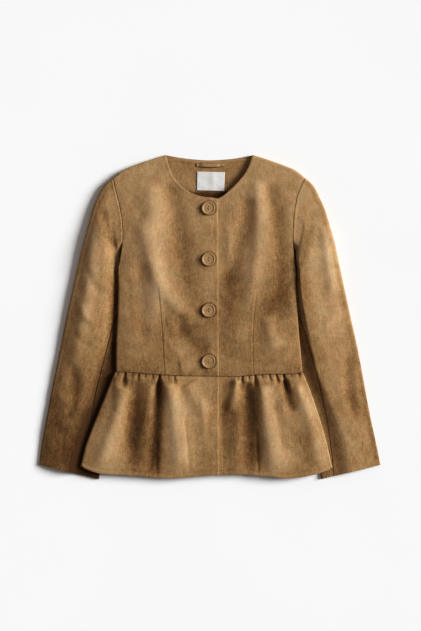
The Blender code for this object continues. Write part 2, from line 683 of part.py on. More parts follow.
class SleeveForm:
    """The shape of a flattened sleeve: u runs from its outer edge to its inner fold, v to the cuff."""

    def __init__(self, sections, side):
        table = np.array(sections)
        self.side = side
        self.heights = np.array(SLEEVE_HEIGHTS)
        shares = straight(0.0, 1.0)
        outline = at_share(smooth(table[:, :2]), shares)
        inner = at_share(smooth(table[:, 2:]), shares)
        out = across(outline)
        tip = shoulder_edge(RIGHT_SHOULDER if side == RIGHT else LEFT_SHOULDER)[1][0]
        turn = ease(shares / 0.10)[:, None]
        self.away = unit(tip * (1.0 - turn) + out * np.sign(out[:, :1]) * side * turn)
        self.radius = np.interp(shares, self.heights[:, 0], self.heights[:, 4])
        back = across(inner)
        self.inwards = -back * np.sign(back[:, :1]) * side
        self.outer_edge = outline - self.away * self.radius[:, None]
        self.inner_edge = inner - self.inwards * INNER_TURN
        hole = armhole_line(side)
        hole = hole + (self.outer_edge[0] - hole[0]) * (1.0 - ease(shares / 0.1))[:, None]
        self.hole = hole + (self.inner_edge[0] - hole[-1]) * ease((shares - 0.72) / 0.28)[:, None]
        self.cuff = straight(self.outer_edge[-1], self.inner_edge[-1])

    def plan(self, u, v):
        """Points seen from above. The sections bow to the hand near the underarm, clear of the inner fold."""
        bow = ROW_BOW * u**2 * (1.0 - u) / BOW_PEAK * ease(v / 0.06) * (1.0 - ease((v - 0.25) / 0.4))
        flat = patch(self.hole, self.cuff, self.outer_edge, self.inner_edge, u, v)
        return flat + bow[..., None] * np.array([self.side, -0.3])

    def free_height(self, plan, u, v):
        """How high the top side lies, with the body's edge pressing on its inner part."""
        rows = self.heights
        outer, middle, inner = (np.interp(v, rows[:, 0], rows[:, k]) for k in (1, 2, 3))
        rise = (middle - outer) * (1.0 - (1.0 - np.clip(u / SLEEVE_CREST, 0.0, 1.0)) ** 2)
        fall = (middle - inner) * ease((u - SLEEVE_CREST) / (1.0 - SLEEVE_CREST))
        free = outer + rise - fall + folds(SLEEVE_FOLDS, plan[..., 0], plan[..., 1])
        right, left = body_edges(np.minimum(plan[..., 1], ARM_JOIN_Y))
        room = right - plan[..., 0] if self.side == RIGHT else plan[..., 0] - left
        below = 1.0 - ease((plan[..., 1] - ARM_JOIN_Y) / ARM_PRESS)
        press = 1.0 - below * (1.0 - ease((room - 1.0) / PRESS_SLOPE))
        return PRESSED + (free - PRESSED) * press

    def height(self, plan, u, v):
        """The free height, brought to the body's at the armhole."""
        body = front_height(self.hole[:, 0], self.hole[:, 1])
        seam = np.interp(u, straight(0.0, 1.0), body)
        dive = ease((u - ARM_DIVE[0]) / (ARM_DIVE[1] - ARM_DIVE[0]))
        seam = seam * (1.0 - dive) + PRESSED * dive
        tip = ease(u / 0.12)
        seam = self.heights[0, 1] * (1.0 - tip) + seam * tip
        return seam + (self.free_height(plan, u, v) - seam) * ease(v / ARM_BLEND)

    def width(self, rows):
        edges = self.plan(np.zeros_like(rows), rows), self.plan(np.ones_like(rows), rows)
        return np.linalg.norm(edges[0] - edges[1], axis=1)


def sleeve_piece(name, form, rows, top_shares, edge, skin, holder):
    """One of a sleeve's two pieces: its part of the top, a turn and its part of the underside.

    top_shares gives the shares across the top at a row, from the turned edge to the seam.
    """
    u = np.array([top_shares(row) for row in rows])
    v = rows[:, None] * np.ones_like(u)
    plan = form.plan(u, v)
    face = with_height(plan, form.height(plan, u, v))
    half = SEAM_GAP / 2 / form.width(rows)
    if edge == "outer":
        out, radius = at_share(form.away, rows), np.interp(rows, straight(0.0, 1.0), form.radius)
        under = [(HIND_SEAM - half) * share for share in HIND_OUTER_SHARES]
    else:
        out, radius = at_share(form.inwards, rows), np.full(len(rows), INNER_TURN)
        under = [1.0 + (HIND_SEAM + half - 1.0) * share for share in HIND_INNER_SHARES]
    flat = np.zeros(len(rows))
    turn = turn_rows(face[:, 0], unit(out), radius, flat)
    below = [with_height(form.plan(share, rows), flat) for share in under]
    whole = np.concatenate([np.stack([*below[::-1], *turn[::-1]], axis=1), face], axis=1)
    if (edge == "outer") == (form.side == RIGHT):
        whole = whole[::-1]
    return grid_object(name, whole, skin, holder)


def sleeve(prefix, sections, side, skin, holder):
    """A two-piece sleeve, flattened, with its seams on the top and the underside."""
    form = SleeveForm(sections, side)
    seam = np.array(SLEEVE_SEAM)
    cap = np.linspace(0.0, CAP_END, CAP_ROWS + 1)[:-1]
    rows = np.concatenate([cap, np.linspace(CAP_END, 1.0, ARM_ROWS)])

    def seam_share(row, towards):
        half = SLEEVE_SEAM_HALF * (1.0 + SLEEVE_SEAM_WIDEN * (1.0 - ease(row / 0.25)))
        return np.interp(row, seam[:, 0], seam[:, 1]) + towards * half

    def upper(row):
        return np.linspace(0.0, seam_share(row, -1.0), UPPER_COLUMNS)

    def under(row):
        return np.linspace(1.0, seam_share(row, 1.0), UNDER_COLUMNS)

    sleeve_piece(prefix + "_upper", form, rows, upper, "outer", skin, holder)
    sleeve_piece(prefix + "_under", form, rows, under, "inner", skin, holder)


def neck_facing(skin, holder):
    """The facing that backs the neck, laid on the inside of the back."""
    top, foot = even(FACING_TOP), even(FACING_FOOT)
    right, left = straight(foot[0], top[0]), straight(foot[-1], top[-1])
    u, v = np.meshgrid(np.linspace(0.0, 1.0, FACING_COLUMNS), np.linspace(0.0, 1.0, FACING_ROWS))
    plan = patch(foot, top, right, left, u, v)
    face = with_height(plan, np.full(u.shape, 2 * WALL + STACK_GAP))
    return grid_object("back_neck_facing", face, skin, holder)


def neck_label(skin, holder):
    """A blank label, a little askew, lying on the facing."""
    level = 2 * WALL + 2 * STACK_GAP + LABEL["thick"]
    u, v = np.meshgrid(np.linspace(-0.5, 0.5, 7), np.linspace(-0.5, 0.5, 5))
    turn = math.radians(LABEL["turn"])
    x, y = u * LABEL["width"], v * LABEL["height"]
    plan_x = LABEL["x"] + x * math.cos(turn) - y * math.sin(turn)
    plan_y = LABEL["y"] + x * math.sin(turn) + y * math.cos(turn)
    crease = LABEL_CREASE["rise"] * np.exp(-(((u - LABEL_CREASE["place"]) / LABEL_CREASE["width"]) ** 2))
    points = np.stack([plan_x, plan_y, level + crease], axis=-1)
    return grid_object("neck_label", points, skin, holder, thick=LABEL["thick"])


def hanger_loop(skin, holder):
    """A narrow strip sewn down at both ends and arched between them."""
    level = 2 * WALL + 2 * STACK_GAP + LOOP["thick"]
    u, v = np.meshgrid(np.linspace(-0.5, 0.5, 13), np.linspace(-0.5, 0.5, 3))
    arch = LOOP["arch"] * ease((0.42 - np.abs(u)) / 0.16)
    sag = LOOP["sag"] * (1.0 - (2.0 * u) ** 2)
    x, y = LOOP["x"] + u * LOOP["length"], LOOP["y"] + v * LOOP["width"] + sag
    points = np.stack([x, y, level + arch], axis=-1)
    return grid_object("hanger_loop", points, skin, holder, thick=LOOP["thick"])


def button_profile():
    """Radius and height of a turned button: flat foot, rounded rim and dished face."""
    r, t = BUTTON_RADIUS, BUTTON_THICK
    return [
        (0.0, 0.62 * t),
        (0.50 * r, 0.66 * t),
        (0.70 * r, 0.78 * t),
        (0.80 * r, 0.98 * t),
        (0.90 * r, t),
        (0.985 * r, 0.80 * t),
        (r, 0.5 * t),
        (0.94 * r, 0.12 * t),
        (0.86 * r, 0.0),
        (0.0, 0.0),
    ]


def hole_cutter(number, location, holder):
    """Two short rods through a button's middle."""
    mesh = bpy.data.meshes.new(f"holes_{number}")
    form = bmesh.new()
    for place in (-HOLE_SPREAD, HOLE_SPREAD):
        rod = bmesh.ops.create_cone(
            form,
            cap_ends=True,
            segments=HOLE_SIDES,
            radius1=HOLE_RADIUS * MM,
            radius2=HOLE_RADIUS * MM,
            depth=4 * BUTTON_THICK * MM,
        )
        bmesh.ops.translate(form, verts=rod["verts"], vec=(0.0, place * MM, 0.0))
    form.to_mesh(mesh)
    form.free()
    cutter = bpy.data.objects.new(mesh.name, mesh)
    cutter.location = location
    cutter.hide_render = True
    cutter.display_type = "WIRE"
    holder.objects.link(cutter)
    return cutter


def button(number, skin, holder, cutters):
    """A turned button with two sewing holes, resting just above the right front."""
    y = BUTTON_TOP_Y - BUTTON_PITCH * (number - 1)
    angles = np.linspace(0.0, 2 * math.pi, 25)
    reach = np.array([0.0, 0.5, 1.0])[:, None] * BUTTON_RADIUS
    level = front_height(BUTTON_X + reach * np.cos(angles), y + reach * np.sin(angles)).max()
    mesh = bpy.data.meshes.new(f"button_{number}")
    form = bmesh.new()
    corners = [form.verts.new((r * MM, 0.0, z * MM)) for r, z in button_profile()]
    for a, b in zip(corners[:-1], corners[1:]):
        form.edges.new((a, b))
    form.to_mesh(mesh)
    form.free()
    mesh.materials.append(skin)
    obj = bpy.data.objects.new(mesh.name, mesh)
    obj.location = (np.array([BUTTON_X, y, level + STACK_GAP]) - ORIGIN) * MM
    holder.objects.link(obj)
    turn = obj.modifiers.new("turn", "SCREW")
    turn.steps = turn.render_steps = BUTTON_STEPS
    turn.use_merge_vertices = True
    turn.merge_threshold = 0.00001
    turn.use_normal_calculate = True
    cut = obj.modifiers.new("holes", "BOOLEAN")
    cut.object = hole_cutter(number, obj.location, cutters)
    cut.operation = "DIFFERENCE"
    return obj


def main():
    clear_scene()
    parts = collection(NAME)
    cutters = collection("cutters")
    cloth, plastic, blank = suede(), button_plastic(), label_cloth()

    front_panel("bodice_front_right", RIGHT_FRONT, RIGHT_SHOULDER, front_height, RIGHT, cloth, parts)
    front_panel("bodice_front_left", LEFT_FRONT, LEFT_SHOULDER, lapped_height, LEFT, cloth, parts)
    back_panel(cloth, parts)
    peplum_front(
        "peplum_front_right", RIGHT_FLARE, RIGHT_GATHERS, RIGHT_PLAIN, RIGHT_CENTRE,
        RIGHT_SPREAD, front_height, RIGHT, cloth, parts,
    )
    peplum_front(
        "peplum_front_left", LEFT_FLARE, LEFT_GATHERS, LEFT_PLAIN, LEFT_CENTRE,
        LEFT_SPREAD, lapped_height, LEFT, cloth, parts,
    )
    peplum_back(cloth, parts)
    sleeve("sleeve_right", RIGHT_SLEEVE, RIGHT, cloth, parts)
    sleeve("sleeve_left", LEFT_SLEEVE, LEFT, cloth, parts)
    neck_facing(cloth, parts)
    neck_label(blank, parts)
    hanger_loop(cloth, parts)
    for number in range(1, BUTTON_COUNT + 1):
        button(number, plastic, parts, cutters)


main()
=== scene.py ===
"""The look of a suede peplum jacket, laid out flat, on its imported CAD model.

Tables are in millimetres, as in the part's source. "Right" and "left" are the wearer's,
so the right front is at -X. Every mesh is made in metres, where the CAD has its solid.
"""

import math

import bpy
import numpy as np
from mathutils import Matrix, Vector, noise


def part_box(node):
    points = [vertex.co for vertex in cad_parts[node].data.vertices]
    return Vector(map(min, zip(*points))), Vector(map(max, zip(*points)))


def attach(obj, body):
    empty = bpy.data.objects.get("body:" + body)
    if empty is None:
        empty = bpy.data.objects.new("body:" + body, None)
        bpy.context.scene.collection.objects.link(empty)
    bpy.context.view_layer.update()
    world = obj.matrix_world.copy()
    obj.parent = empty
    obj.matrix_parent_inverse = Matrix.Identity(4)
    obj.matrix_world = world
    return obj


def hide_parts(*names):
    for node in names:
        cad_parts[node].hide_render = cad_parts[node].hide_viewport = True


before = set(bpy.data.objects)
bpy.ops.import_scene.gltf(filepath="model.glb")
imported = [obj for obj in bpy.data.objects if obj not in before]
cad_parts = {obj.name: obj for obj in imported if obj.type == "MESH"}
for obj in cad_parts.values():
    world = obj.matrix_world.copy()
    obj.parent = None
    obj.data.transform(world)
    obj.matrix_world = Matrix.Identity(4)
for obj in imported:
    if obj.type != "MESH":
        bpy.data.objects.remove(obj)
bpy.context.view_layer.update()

MM = 0.001
# The middle of the whole outline in the tables, which becomes x = y = 0
ORIGIN = np.array([-0.45, 1.05, 0.0])
LINE_POINTS = 161
RIGHT, LEFT = -1.0, 1.0
NAMES = {"right": RIGHT, "left": LEFT}

# Cloth and seams
WALL = 1.3
SEAM_GAP = 0.45
LAP_DROP = 1.9
LAP_EDGE = 19.0
LAP_SLOPE = 34.0
SEAM_DIP = 1.2
SEAM_DIP_WIDTH = 5.0

# Edges where the cloth turns from the front round to the back
SIDE_TURN = 4.0
UNDERARM_TURN = 0.6
# The y between which the turn gets smaller up to the underarm
UNDERARM_FROM_TO = (52.0, 88.0)
SHOULDER_TURN = 4.0
SIDE_TAIL = 12.0
SHOULDER_TAIL_ARM = 10.0
SHOULDER_TAIL_NECK = 1.8

# How the underside lifts over the sleeves, and how the body presses on them
LIFT = 6.2
LIFT_SLOPE = 26.0
LIFT_START = 4.0
LIFT_END = 16.0
PRESSED = 5.3
PRESS_SLOPE = {
    RIGHT: [(-60, 26), (0, 24), (60, 14), (125, 6)],
    LEFT: [(-220, 38), (-60, 22), (0, 13), (60, 6), (125, 4)],
}

# Buttons
BUTTON_RADIUS = 12.9
BUTTON_THICK = 4.2
BUTTON_X = -3.0
BUTTON_TOP_Y = 206.7
BUTTON_PITCH = 96.6
BUTTON_COUNT = 4
BUTTON_STEPS = 72
# A button's face from the middle to the rim, and its foot from the rim inwards, as shares of the radius
# and of the thickness
BUTTON_FACE = [
    (0, 0.72), (0.62, 0.74), (0.74, 0.80), (0.80, 0.92), (0.86, 0.985), (0.92, 1), (0.965, 0.93), (1, 0.55),
]
BUTTON_FOOT = [(0.995, 0.35), (0.96, 0.12), (0.90, 0.02), (0.80, 0), (0.4, 0)]
HOLE_SPREAD = 2.3

# Label and hanger loop inside the back neck
LABEL = {"x": 1.2, "y": 258.4, "width": 52.5, "height": 36.0, "thick": 1.0, "tape": 0.6, "turn": -1.5}
# How far inside its edge the label is sewn down
SEWN_IN = 2.6
LABEL_CREASE = {"rise": 0.7, "place": 0.08, "width": 0.12}
LOOP = {"x": 0.4, "y": 290.0, "length": 54.0, "width": 7.0, "thick": 1.3, "strip": 0.8}
# How far the loop arches up between its sewn ends, and sags towards the label
LOOP_ARCH = 1.6
LOOP_SAG = -1.6
STACK_GAP = 0.4

# Waist seam from the right side to the left: x, y
WAIST = [
    (-180.9, -103), (-159.6, -103.8), (-119.5, -106.6), (-86.3, -108.8), (-50, -110.4),
    (0.6, -111.2), (50.5, -111.4), (83.8, -109), (110.6, -107.6), (137.2, -107.4),
    (163.8, -106), (177, -103.4),
]

# Fronts, a section from the side to the centre: side x, side y, centre x, centre y.
# The left one runs on under the right one.
FRONTS = {
    RIGHT: [
        (-178.2, -103, 16.5, -111.3),
        (-178.4, -70, 16.4, -75),
        (-177.1, -33.2, 16.2, -30),
        (-174.8, 14.2, 16, 22),
        (-174, 52.2, 15.8, 68),
        (-173.5, 88.9, 15.6, 112),
        (-169.3, 116.1, 15.5, 148),
        (-165.9, 139.8, 15.3, 182),
        (-165.1, 163.6, 15.2, 210),
        (-165.9, 180, 13.6, 224.6),
        (-168.4, 197, -19.2, 229.7),
        (-171.8, 214, -45, 241),
        (-175.6, 230, -64.6, 259.7),
        (-179.6, 246, -76.2, 282),
        (-184.5, 263.2, -83.8, 307.8),
    ],
    LEFT: [
        (175.8, -103.4, -22, -110.6),
        (172.4, -70, -22.2, -75),
        (169.1, -35.1, -22.4, -30),
        (165.6, 14.2, -22.6, 22),
        (163.4, 52.2, -22.8, 68),
        (162.6, 87.2, -23, 112),
        (159.2, 114, -23.1, 148),
        (157.2, 139.8, -23.2, 182),
        (157, 163.6, -23.3, 206),
        (158, 184, -21, 226),
        (160.2, 204, 14.8, 225.6),
        (163.4, 222, 42, 245.5),
        (167.8, 238, 62.6, 268.4),
        (173.6, 251, 73.4, 287),
        (180.5, 263.2, 80.6, 307.8),
    ],
}
# The section of both tables where the armhole starts
UNDERARM = 5

# Shoulder outlines from the arm to the neck: x, y
SHOULDERS = {
    RIGHT: [(-184.5, 264.1), (-167.2, 278.3), (-140.6, 289.8), (-112.1, 299.4), (-83.8, 308.6)],
    LEFT: [(180.5, 264.1), (163.4, 278.3), (144.4, 286.6), (113.0, 298.4), (80.8, 308.6)],
}
# Back neck edge: x, y
BACK_NECK = [
    (-82.9, 308), (-62, 304.3), (-38, 301), (-1.9, 298.5), (38, 300.8), (60, 304),
    (79.9, 308),
]
# How many points of each of the back's shoulder seams, hidden by the front, are left out before the neck
SEAM_SHORT = 5

# Sleeves, a section from the outer edge to the inner one: outer x, outer y, inner x, inner y
SLEEVES = {
    RIGHT: [
        (-185, 264.1, -164.6, 128),
        (-200.5, 251, -165, 118),
        (-212, 232.5, -165, 106),
        (-222.3, 208, -164.4, 91),
        (-231, 177, -162.8, 73),
        (-239.8, 145, -161.4, 53),
        (-248.5, 110, -160.8, 30),
        (-261, 54, -161.8, 0),
        (-273.6, -4.8, -166, -38),
        (-285.5, -65.5, -174.5, -88),
        (-298.3, -126.3, -186.5, -143),
        (-309.7, -187.1, -197.5, -200),
        (-319.5, -240, -205.5, -260),
        (-324.3, -279.9, -210.7, -306.5),
    ],
    LEFT: [
        (181, 264.1, 155.3, 128),
        (195.5, 250.5, 155.7, 118),
        (206, 231, 155.6, 106),
        (216.6, 208, 155, 91),
        (226.3, 177, 153.4, 73),
        (235.8, 145, 152, 53),
        (243.2, 110, 151.4, 30),
        (255, 54, 152.4, 0),
        (267.9, -4.8, 157, -38),
        (281.2, -65.5, 167, -88),
        (292.6, -126.3, 180, -143),
        (304, -187.1, 193, -200),
        (315.5, -240, 204, -260),
        (323.4, -279.9, 211.3, -306.5),
    ],
}
# How thick a sleeve lies: share of its length, outer edge, middle, inner edge, turn radius
SLEEVE_HEIGHTS = [
    (0.00, 10.5, 17, 5.3, 4),
    (0.12, 14.5, 19.5, 5.3, 6),
    (0.30, 17, 21, 6.5, 7),
    (0.55, 14.5, 18, 7.5, 6.5),
    (0.80, 11, 14.5, 7.5, 5),
    (1.00, 8.5, 11.5, 6.5, 4),
]
# Where a sleeve lies highest: share of its length, share of its width
SLEEVE_CREST = {
    RIGHT: [(0, 0.45), (1, 0.45)],
    LEFT: [(0, 0.90), (0.40, 0.88), (0.47, 0.84), (0.54, 0.76), (0.62, 0.69), (1, 0.69)],
}
INNER_TURN = 2.7
# Where the sleeves' inner fold leaves the armhole
ARM_JOIN_Y = 128.0
# The seam on top: share of the length, share of the width
SLEEVE_SEAM = [
    (0.00, 0.96), (0.46, 0.93), (0.53, 0.88), (0.57, 0.83), (0.61, 0.785), (0.68, 0.75), (0.77, 0.73),
    (0.85, 0.74), (1.00, 0.80),
]
SLEEVE_SEAM_HALF = 0.003
SLEEVE_SEAM_WIDEN = 1.6
# The seam on the underside: share of the width
HIND_SEAM = 0.17
# The share of the cap where it goes down under the body's edge
ARM_DIVE = (0.86, 1.0)
ARM_BLEND = 0.22
ARM_PRESS = 18.0
# How far the sections bow, at most
ROW_BOW = 11.0
BOW_PEAK = 4.0 / 27.0

# Peplum side edges from the waist to the hem: x, y
FLARES = {
    RIGHT: [(-180.9, -104.6), (-199.1, -150.0), (-213.0, -184.3), (-233.7, -237.3), (-245.3, -282.1)],
    LEFT: [(176.8, -104.8), (188.3, -133.8), (202.2, -172.9), (218.1, -225.9), (232.0, -284.6)],
}
HEM = [
    (-245.3, -282.1), (-226.9, -290.3), (-203.9, -296), (-157.7, -298.8), (-123.5, -301.2),
    (-88.7, -304), (-54.1, -304), (-19.6, -300.8), (17.1, -298.3), (73.1, -297.6),
    (89.3, -300.2), (112, -301), (142.1, -304.8), (176.7, -301.9), (206.7, -294.9),
    (232, -285.8),
]
# How much shorter the peplum's back is
BACK_HEM_RISE = 3.0
# The centre edges of the peplum fronts: x at the waist, x at the hem
CENTRES = {
    RIGHT: (16.5, 17.1),
    LEFT: (-22.0, -22.0),
}
# How the gathered part spreads towards the hem: share of the waist, share of the hem
SPREADS = {
    RIGHT: [(0.0, 0.0), (0.585, 0.70), (1.0, 1.0)],
    LEFT: [(0.0, 0.0), (0.66, 0.72), (1.0, 1.0)],
}

# How high the front lies: y, at the side, in the middle
LAY = [
    (308, 10, 10.5),
    (285, 12, 13),
    (250, 14.5, 16),
    (200, 16.5, 18.5),
    (120, 16, 19.5),
    (60, 14, 19.5),
    (0, 13.5, 19),
    (-60, 13.5, 17.5),
    (-111, 13.5, 16),
    (-135, 14, 18),
    (-200, 13.5, 17.5),
    (-305, 11, 14.5),
]
SIDE_ROUNDING = 42.0

# Folds: from x, y through x, y to x, y, how high, half width at the start and the end
BODICE_FOLDS = [
    (-110.2, 262, -106, 140, -101, -20, 1.8, 15, 16),
    (-79, 262, -62, 160, -36, 44, -1.9, 13, 18),
    (-134, 190, -95, 66, -22, -25, 2.2, 13, 15),
    (-62, 12, -40, -42, 2, -64, -1.8, 10, 12),
    (-133, 110, -130, 20, -123, -62, -1.2, 11, 11),
    (-60, -92, -34, -88, -8, -94, 0.9, 14, 12),
    (92, 268, 91, 130, 70, -10, 2.1, 13, 14),
    (71, 236, 55, 134, 22, 36, -2, 12, 15),
    (108, 264, 132, 130, 132, -20, -2, 12, 13),
    (104, 6, 116, -36, 124, -66, 1.8, 11, 11),
]
PEPLUM_FOLDS = [
    (-161.5, -124, -179, -200, -220, -310, 2.8, 12, 22),
    (-138.7, -116, -143, -204, -149, -310, -2.1, 12, 20),
    (-110.2, -120, -122, -195, -144, -275, 0.7, 7, 11),
    (-96.9, -114, -104.5, -214, -112.1, -312, -4.1, 6, 13),
    (-78, -120, -66, -195, -52, -312, 3.2, 12, 26),
    (-43.7, -124, -26, -155, -6, -192, 1.6, 13, 17),
    (49.4, -116, 43.7, -147, 38, -185, 2.6, 7, 12),
    (70.3, -118, 74.1, -195, 77.9, -312, -4.4, 10, 21),
    (98, -124, 111, -214, 134, -312, 3.3, 12, 26),
    (139.6, -116, 146.3, -150, 157, -185, -2.6, 6, 9),
    (163.4, -124, 188.1, -189, 216, -312, 2.4, 10, 20),
]
SLEEVE_FOLDS = [
    (-218.5, 180, -230, 60, -262, -120, 2, 13, 15),
    (-206, 215, -192, 170, -182, 124, -1.7, 11, 10),
    (-262, -80, -256, -140, -268, -200, -1.6, 10, 12),
    (214, 190, 224, 110, 236, 30, 2.2, 13, 14),
    (196, 214, 186, 168, 178, 122, -0.6, 9, 9),
    (262, -60, 262, -130, 280, -200, -1.6, 11, 12),
]
FOLD_FADE = 0.22

# Gathers at the waist: x, how far the slit runs down, how deep, how far it leans
GATHERS = {
    RIGHT: [
        (-174, 10, 1.2, -3),
        (-160.7, 34, 2.6, -4),
        (-146.5, 12, 1.4, -2),
        (-135, 17, 2, -2),
        (-122.2, 9, 1.5, -1),
        (-108.5, 12, 1.6, -1),
        (-95.6, 46, 3.6, -3),
        (-80, 8, 1.2, 1),
        (-67.5, 21, 2, 2),
    ],
    LEFT: [
        (53, 10, 1.2, -1),
        (61, 26, 2.2, -2),
        (73.5, 11, 1.5, 0),
        (85.1, 30, 2.8, 2),
        (97.5, 9, 1.2, 1),
        (111.9, 15, 1.8, 2),
        (125.2, 20, 2.2, 4),
        (139, 40, 3.2, 8),
        (152, 9, 1.2, 3),
        (167, 14, 1.8, 4),
    ],
}
GATHER_WIDTH = 1.9
GATHER_WIDEN = 0.15
GATHER_SHOULDER = 0.3
# The swelling between the slits: how high, how fast it rises below the seam, where it ends
PUFF = {"rise": 2.6, "top": 9.0, "end": 75.0, "fade": 62.0}

# Facing inside the back neck: its top and its lower edge
FACING_TOP = [
    (-84, 300.6), (-62, 301.4), (-38, 298.8), (-1.9, 296.5), (38, 298.6), (60, 301.2),
    (81, 300.6),
]
FACING_FOOT = [
    (-104, 262), (-70, 236), (-35, 221), (-1.9, 216), (35, 221), (68, 236),
    (101, 262),
]

# Each cloth: its node, how its grain leans, where it is in the suede's noise,
# and the width, length and area that its sheet has when flat, in metres
CLOTHS = {
    "front_right_cloth": ("bodice_front_right", 0, 10, 0.25, 0.43, 0.079),
    "front_left_cloth": ("bodice_front_left", 0, 50, 0.25, 0.43, 0.079),
    "back_cloth": ("bodice_back", 0, 90, 0.40, 0.42, 0.131),
    "peplum_right_cloth": ("peplum_front_right", -0.12, 310, 0.29, 0.20, 0.052),
    "peplum_left_cloth": ("peplum_front_left", 0.12, 350, 0.29, 0.20, 0.052),
    "peplum_back_cloth": ("peplum_back", 0, 130, 0.47, 0.20, 0.0765),
    "right_sleeve_upper_cloth": ("sleeve_right_upper", -0.2, 410, 0.13, 0.58, 0.0590),
    "right_sleeve_under_cloth": ("sleeve_right_under", -0.2, 450, 0.125, 0.50, 0.0525),
    "left_sleeve_upper_cloth": ("sleeve_left_upper", 0.2, 490, 0.13, 0.58, 0.0600),
    "left_sleeve_under_cloth": ("sleeve_left_under", 0.2, 530, 0.125, 0.50, 0.0530),
    "neck_facing_cloth": ("back_neck_facing", 0, 170, 0.205, 0.09, 0.0130),
}

# How the scene's cloth differs from the solids
CLOTH = 1.1
BODICE_GAIN = 1.7
BODICE_WIDER = 1.2
BODICE_START = 0.11
PEPLUM_GAIN = 1.6
# The share of a peplum fold over which it grows below the waist seam
PEPLUM_START = 0.09
SLEEVE_GAIN = 1.9
FOLD_LEAN = 0.14
# How much rounder the sleeves lie than their solids
SLEEVE_ROUND = 3.2
CELL = 2.1
BACK_CELL = 5.5
FINE = np.array([0.0, 0.35, 0.8, 1.3, 2.0, 3.0, 4.2])
FINE_TURN = 8
SEAM_ROLL = 0.65
EDGE_ROLL = 1.15
RIM_RISE = 0.32
RIM_PLACE = 3.4
RIM_WIDTH = 1.9

# Small creases of the scene alone, in the columns of the fold tables
BODICE_CREASES = [
    (-20, 186, -5, 181, 9, 172, 0.9, 6, 6),
    (-24, 90, -40, 84, -62, 88, 0.9, 5, 7),
    (-20, 128, -38, 140, -58, 142, -0.8, 5, 8),
    (-18, 30, -40, 26, -66, 34, 0.8, 5, 7),
    (-20, -8, -44, -22, -70, -24, -0.9, 5, 7),
    (-90, -30, -72, -56, -50, -74, 1, 6, 7),
    (-158, 84, -150, 40, -152, -20, -1.2, 8, 9),
    (-150, 232, -140, 210, -120, 190, -1, 7, 9),
    (-166, -60, -140, -74, -112, -72, 0.9, 6, 8),
    (32, 178, 36, 140, 34, 96, 1.1, 6, 7),
    (24, 60, 42, 40, 64, 38, -0.8, 5, 7),
    (24, -30, 44, -38, 70, -34, 0.8, 5, 7),
    (28, -70, 48, -76, 72, -72, -0.8, 5, 7),
    (152, 80, 144, 40, 146, -10, -1.1, 8, 9),
    (146, 226, 136, 208, 122, 176, -1, 7, 9),
    (160, -56, 138, -70, 112, -76, 0.9, 6, 8),
]
PEPLUM_CREASES = [
    (-146, -136, -150, -200, -157, -268, -1.8, 15, 20),
    (31, -136, 35, -215, 40, -306, -1.7, 15, 20),
    (-100.1, -226, -100.8, -262, -101, -312, -1.2, 2.6, 3.4),
    (87, -206, 89.5, -252, 91.2, -312, -1.2, 2.6, 3.4),
    (-49.4, -178, -43, -240, -38, -300, -0.9, 3, 4),
    (-176, -150, -200, -210, -214, -262, -0.4, 6, 9),
    (120, -150, 132, -210, 140, -262, -1.1, 5, 8),
    (26, -140, 22, -210, 27, -290, -1, 6, 8),
    (-16, -140, -12, -200, -8, -262, 1, 6, 8),
]
SLEEVE_CREASES = [
    (-275.5, -206, -279, -244, -282.2, -286, -0.9, 3, 4),
    (-236, 96, -222, 66, -204, 44, -1.3, 7, 8),
    (-250, 30, -236, 4, -214, -14, 1.2, 7, 8),
    (-262, -24, -244, -44, -220, -56, -1.2, 6, 8),
    (-290, -140, -276, -158, -252, -166, 1, 6, 7),
    (-300, -196, -284, -214, -262, -222, -1, 6, 7),
    (232, 88, 216, 60, 200, 40, -0.7, 8, 9),
    (248, 22, 232, -2, 212, -16, 0.7, 8, 9),
    (258, -30, 240, -50, 220, -58, -0.6, 7, 9),
    (286, -146, 268, -162, 246, -168, 0.6, 7, 8),
    (298, -204, 280, -220, 256, -226, -0.5, 7, 8),
    (270, -90, 280, -130, 284, -180, 1, 8, 9),
]
BACK_CREASES = [
    (-96, 190, -70, 120, -62, 30, 1, 10, 12),
    (84, 196, 66, 118, 70, 24, 1.1, 10, 13),
    (-40, -10, -16, -44, 20, -70, 0.9, 9, 10),
    (120, -20, 92, -52, 50, -66, 0.8, 8, 10),
    (-130, 10, -118, -40, -120, -90, 0.9, 9, 9),
    (-140, -130, -152, -200, -168, -290, 1.2, 8, 15),
    (-70, -122, -74, -190, -82, -296, 1.2, 7, 14),
    (-6, -124, -2, -196, -8, -296, 1.1, 7, 14),
    (62, -122, 70, -190, 76, -296, 1.2, 7, 14),
    (128, -124, 142, -196, 160, -288, 1.2, 8, 15),
]
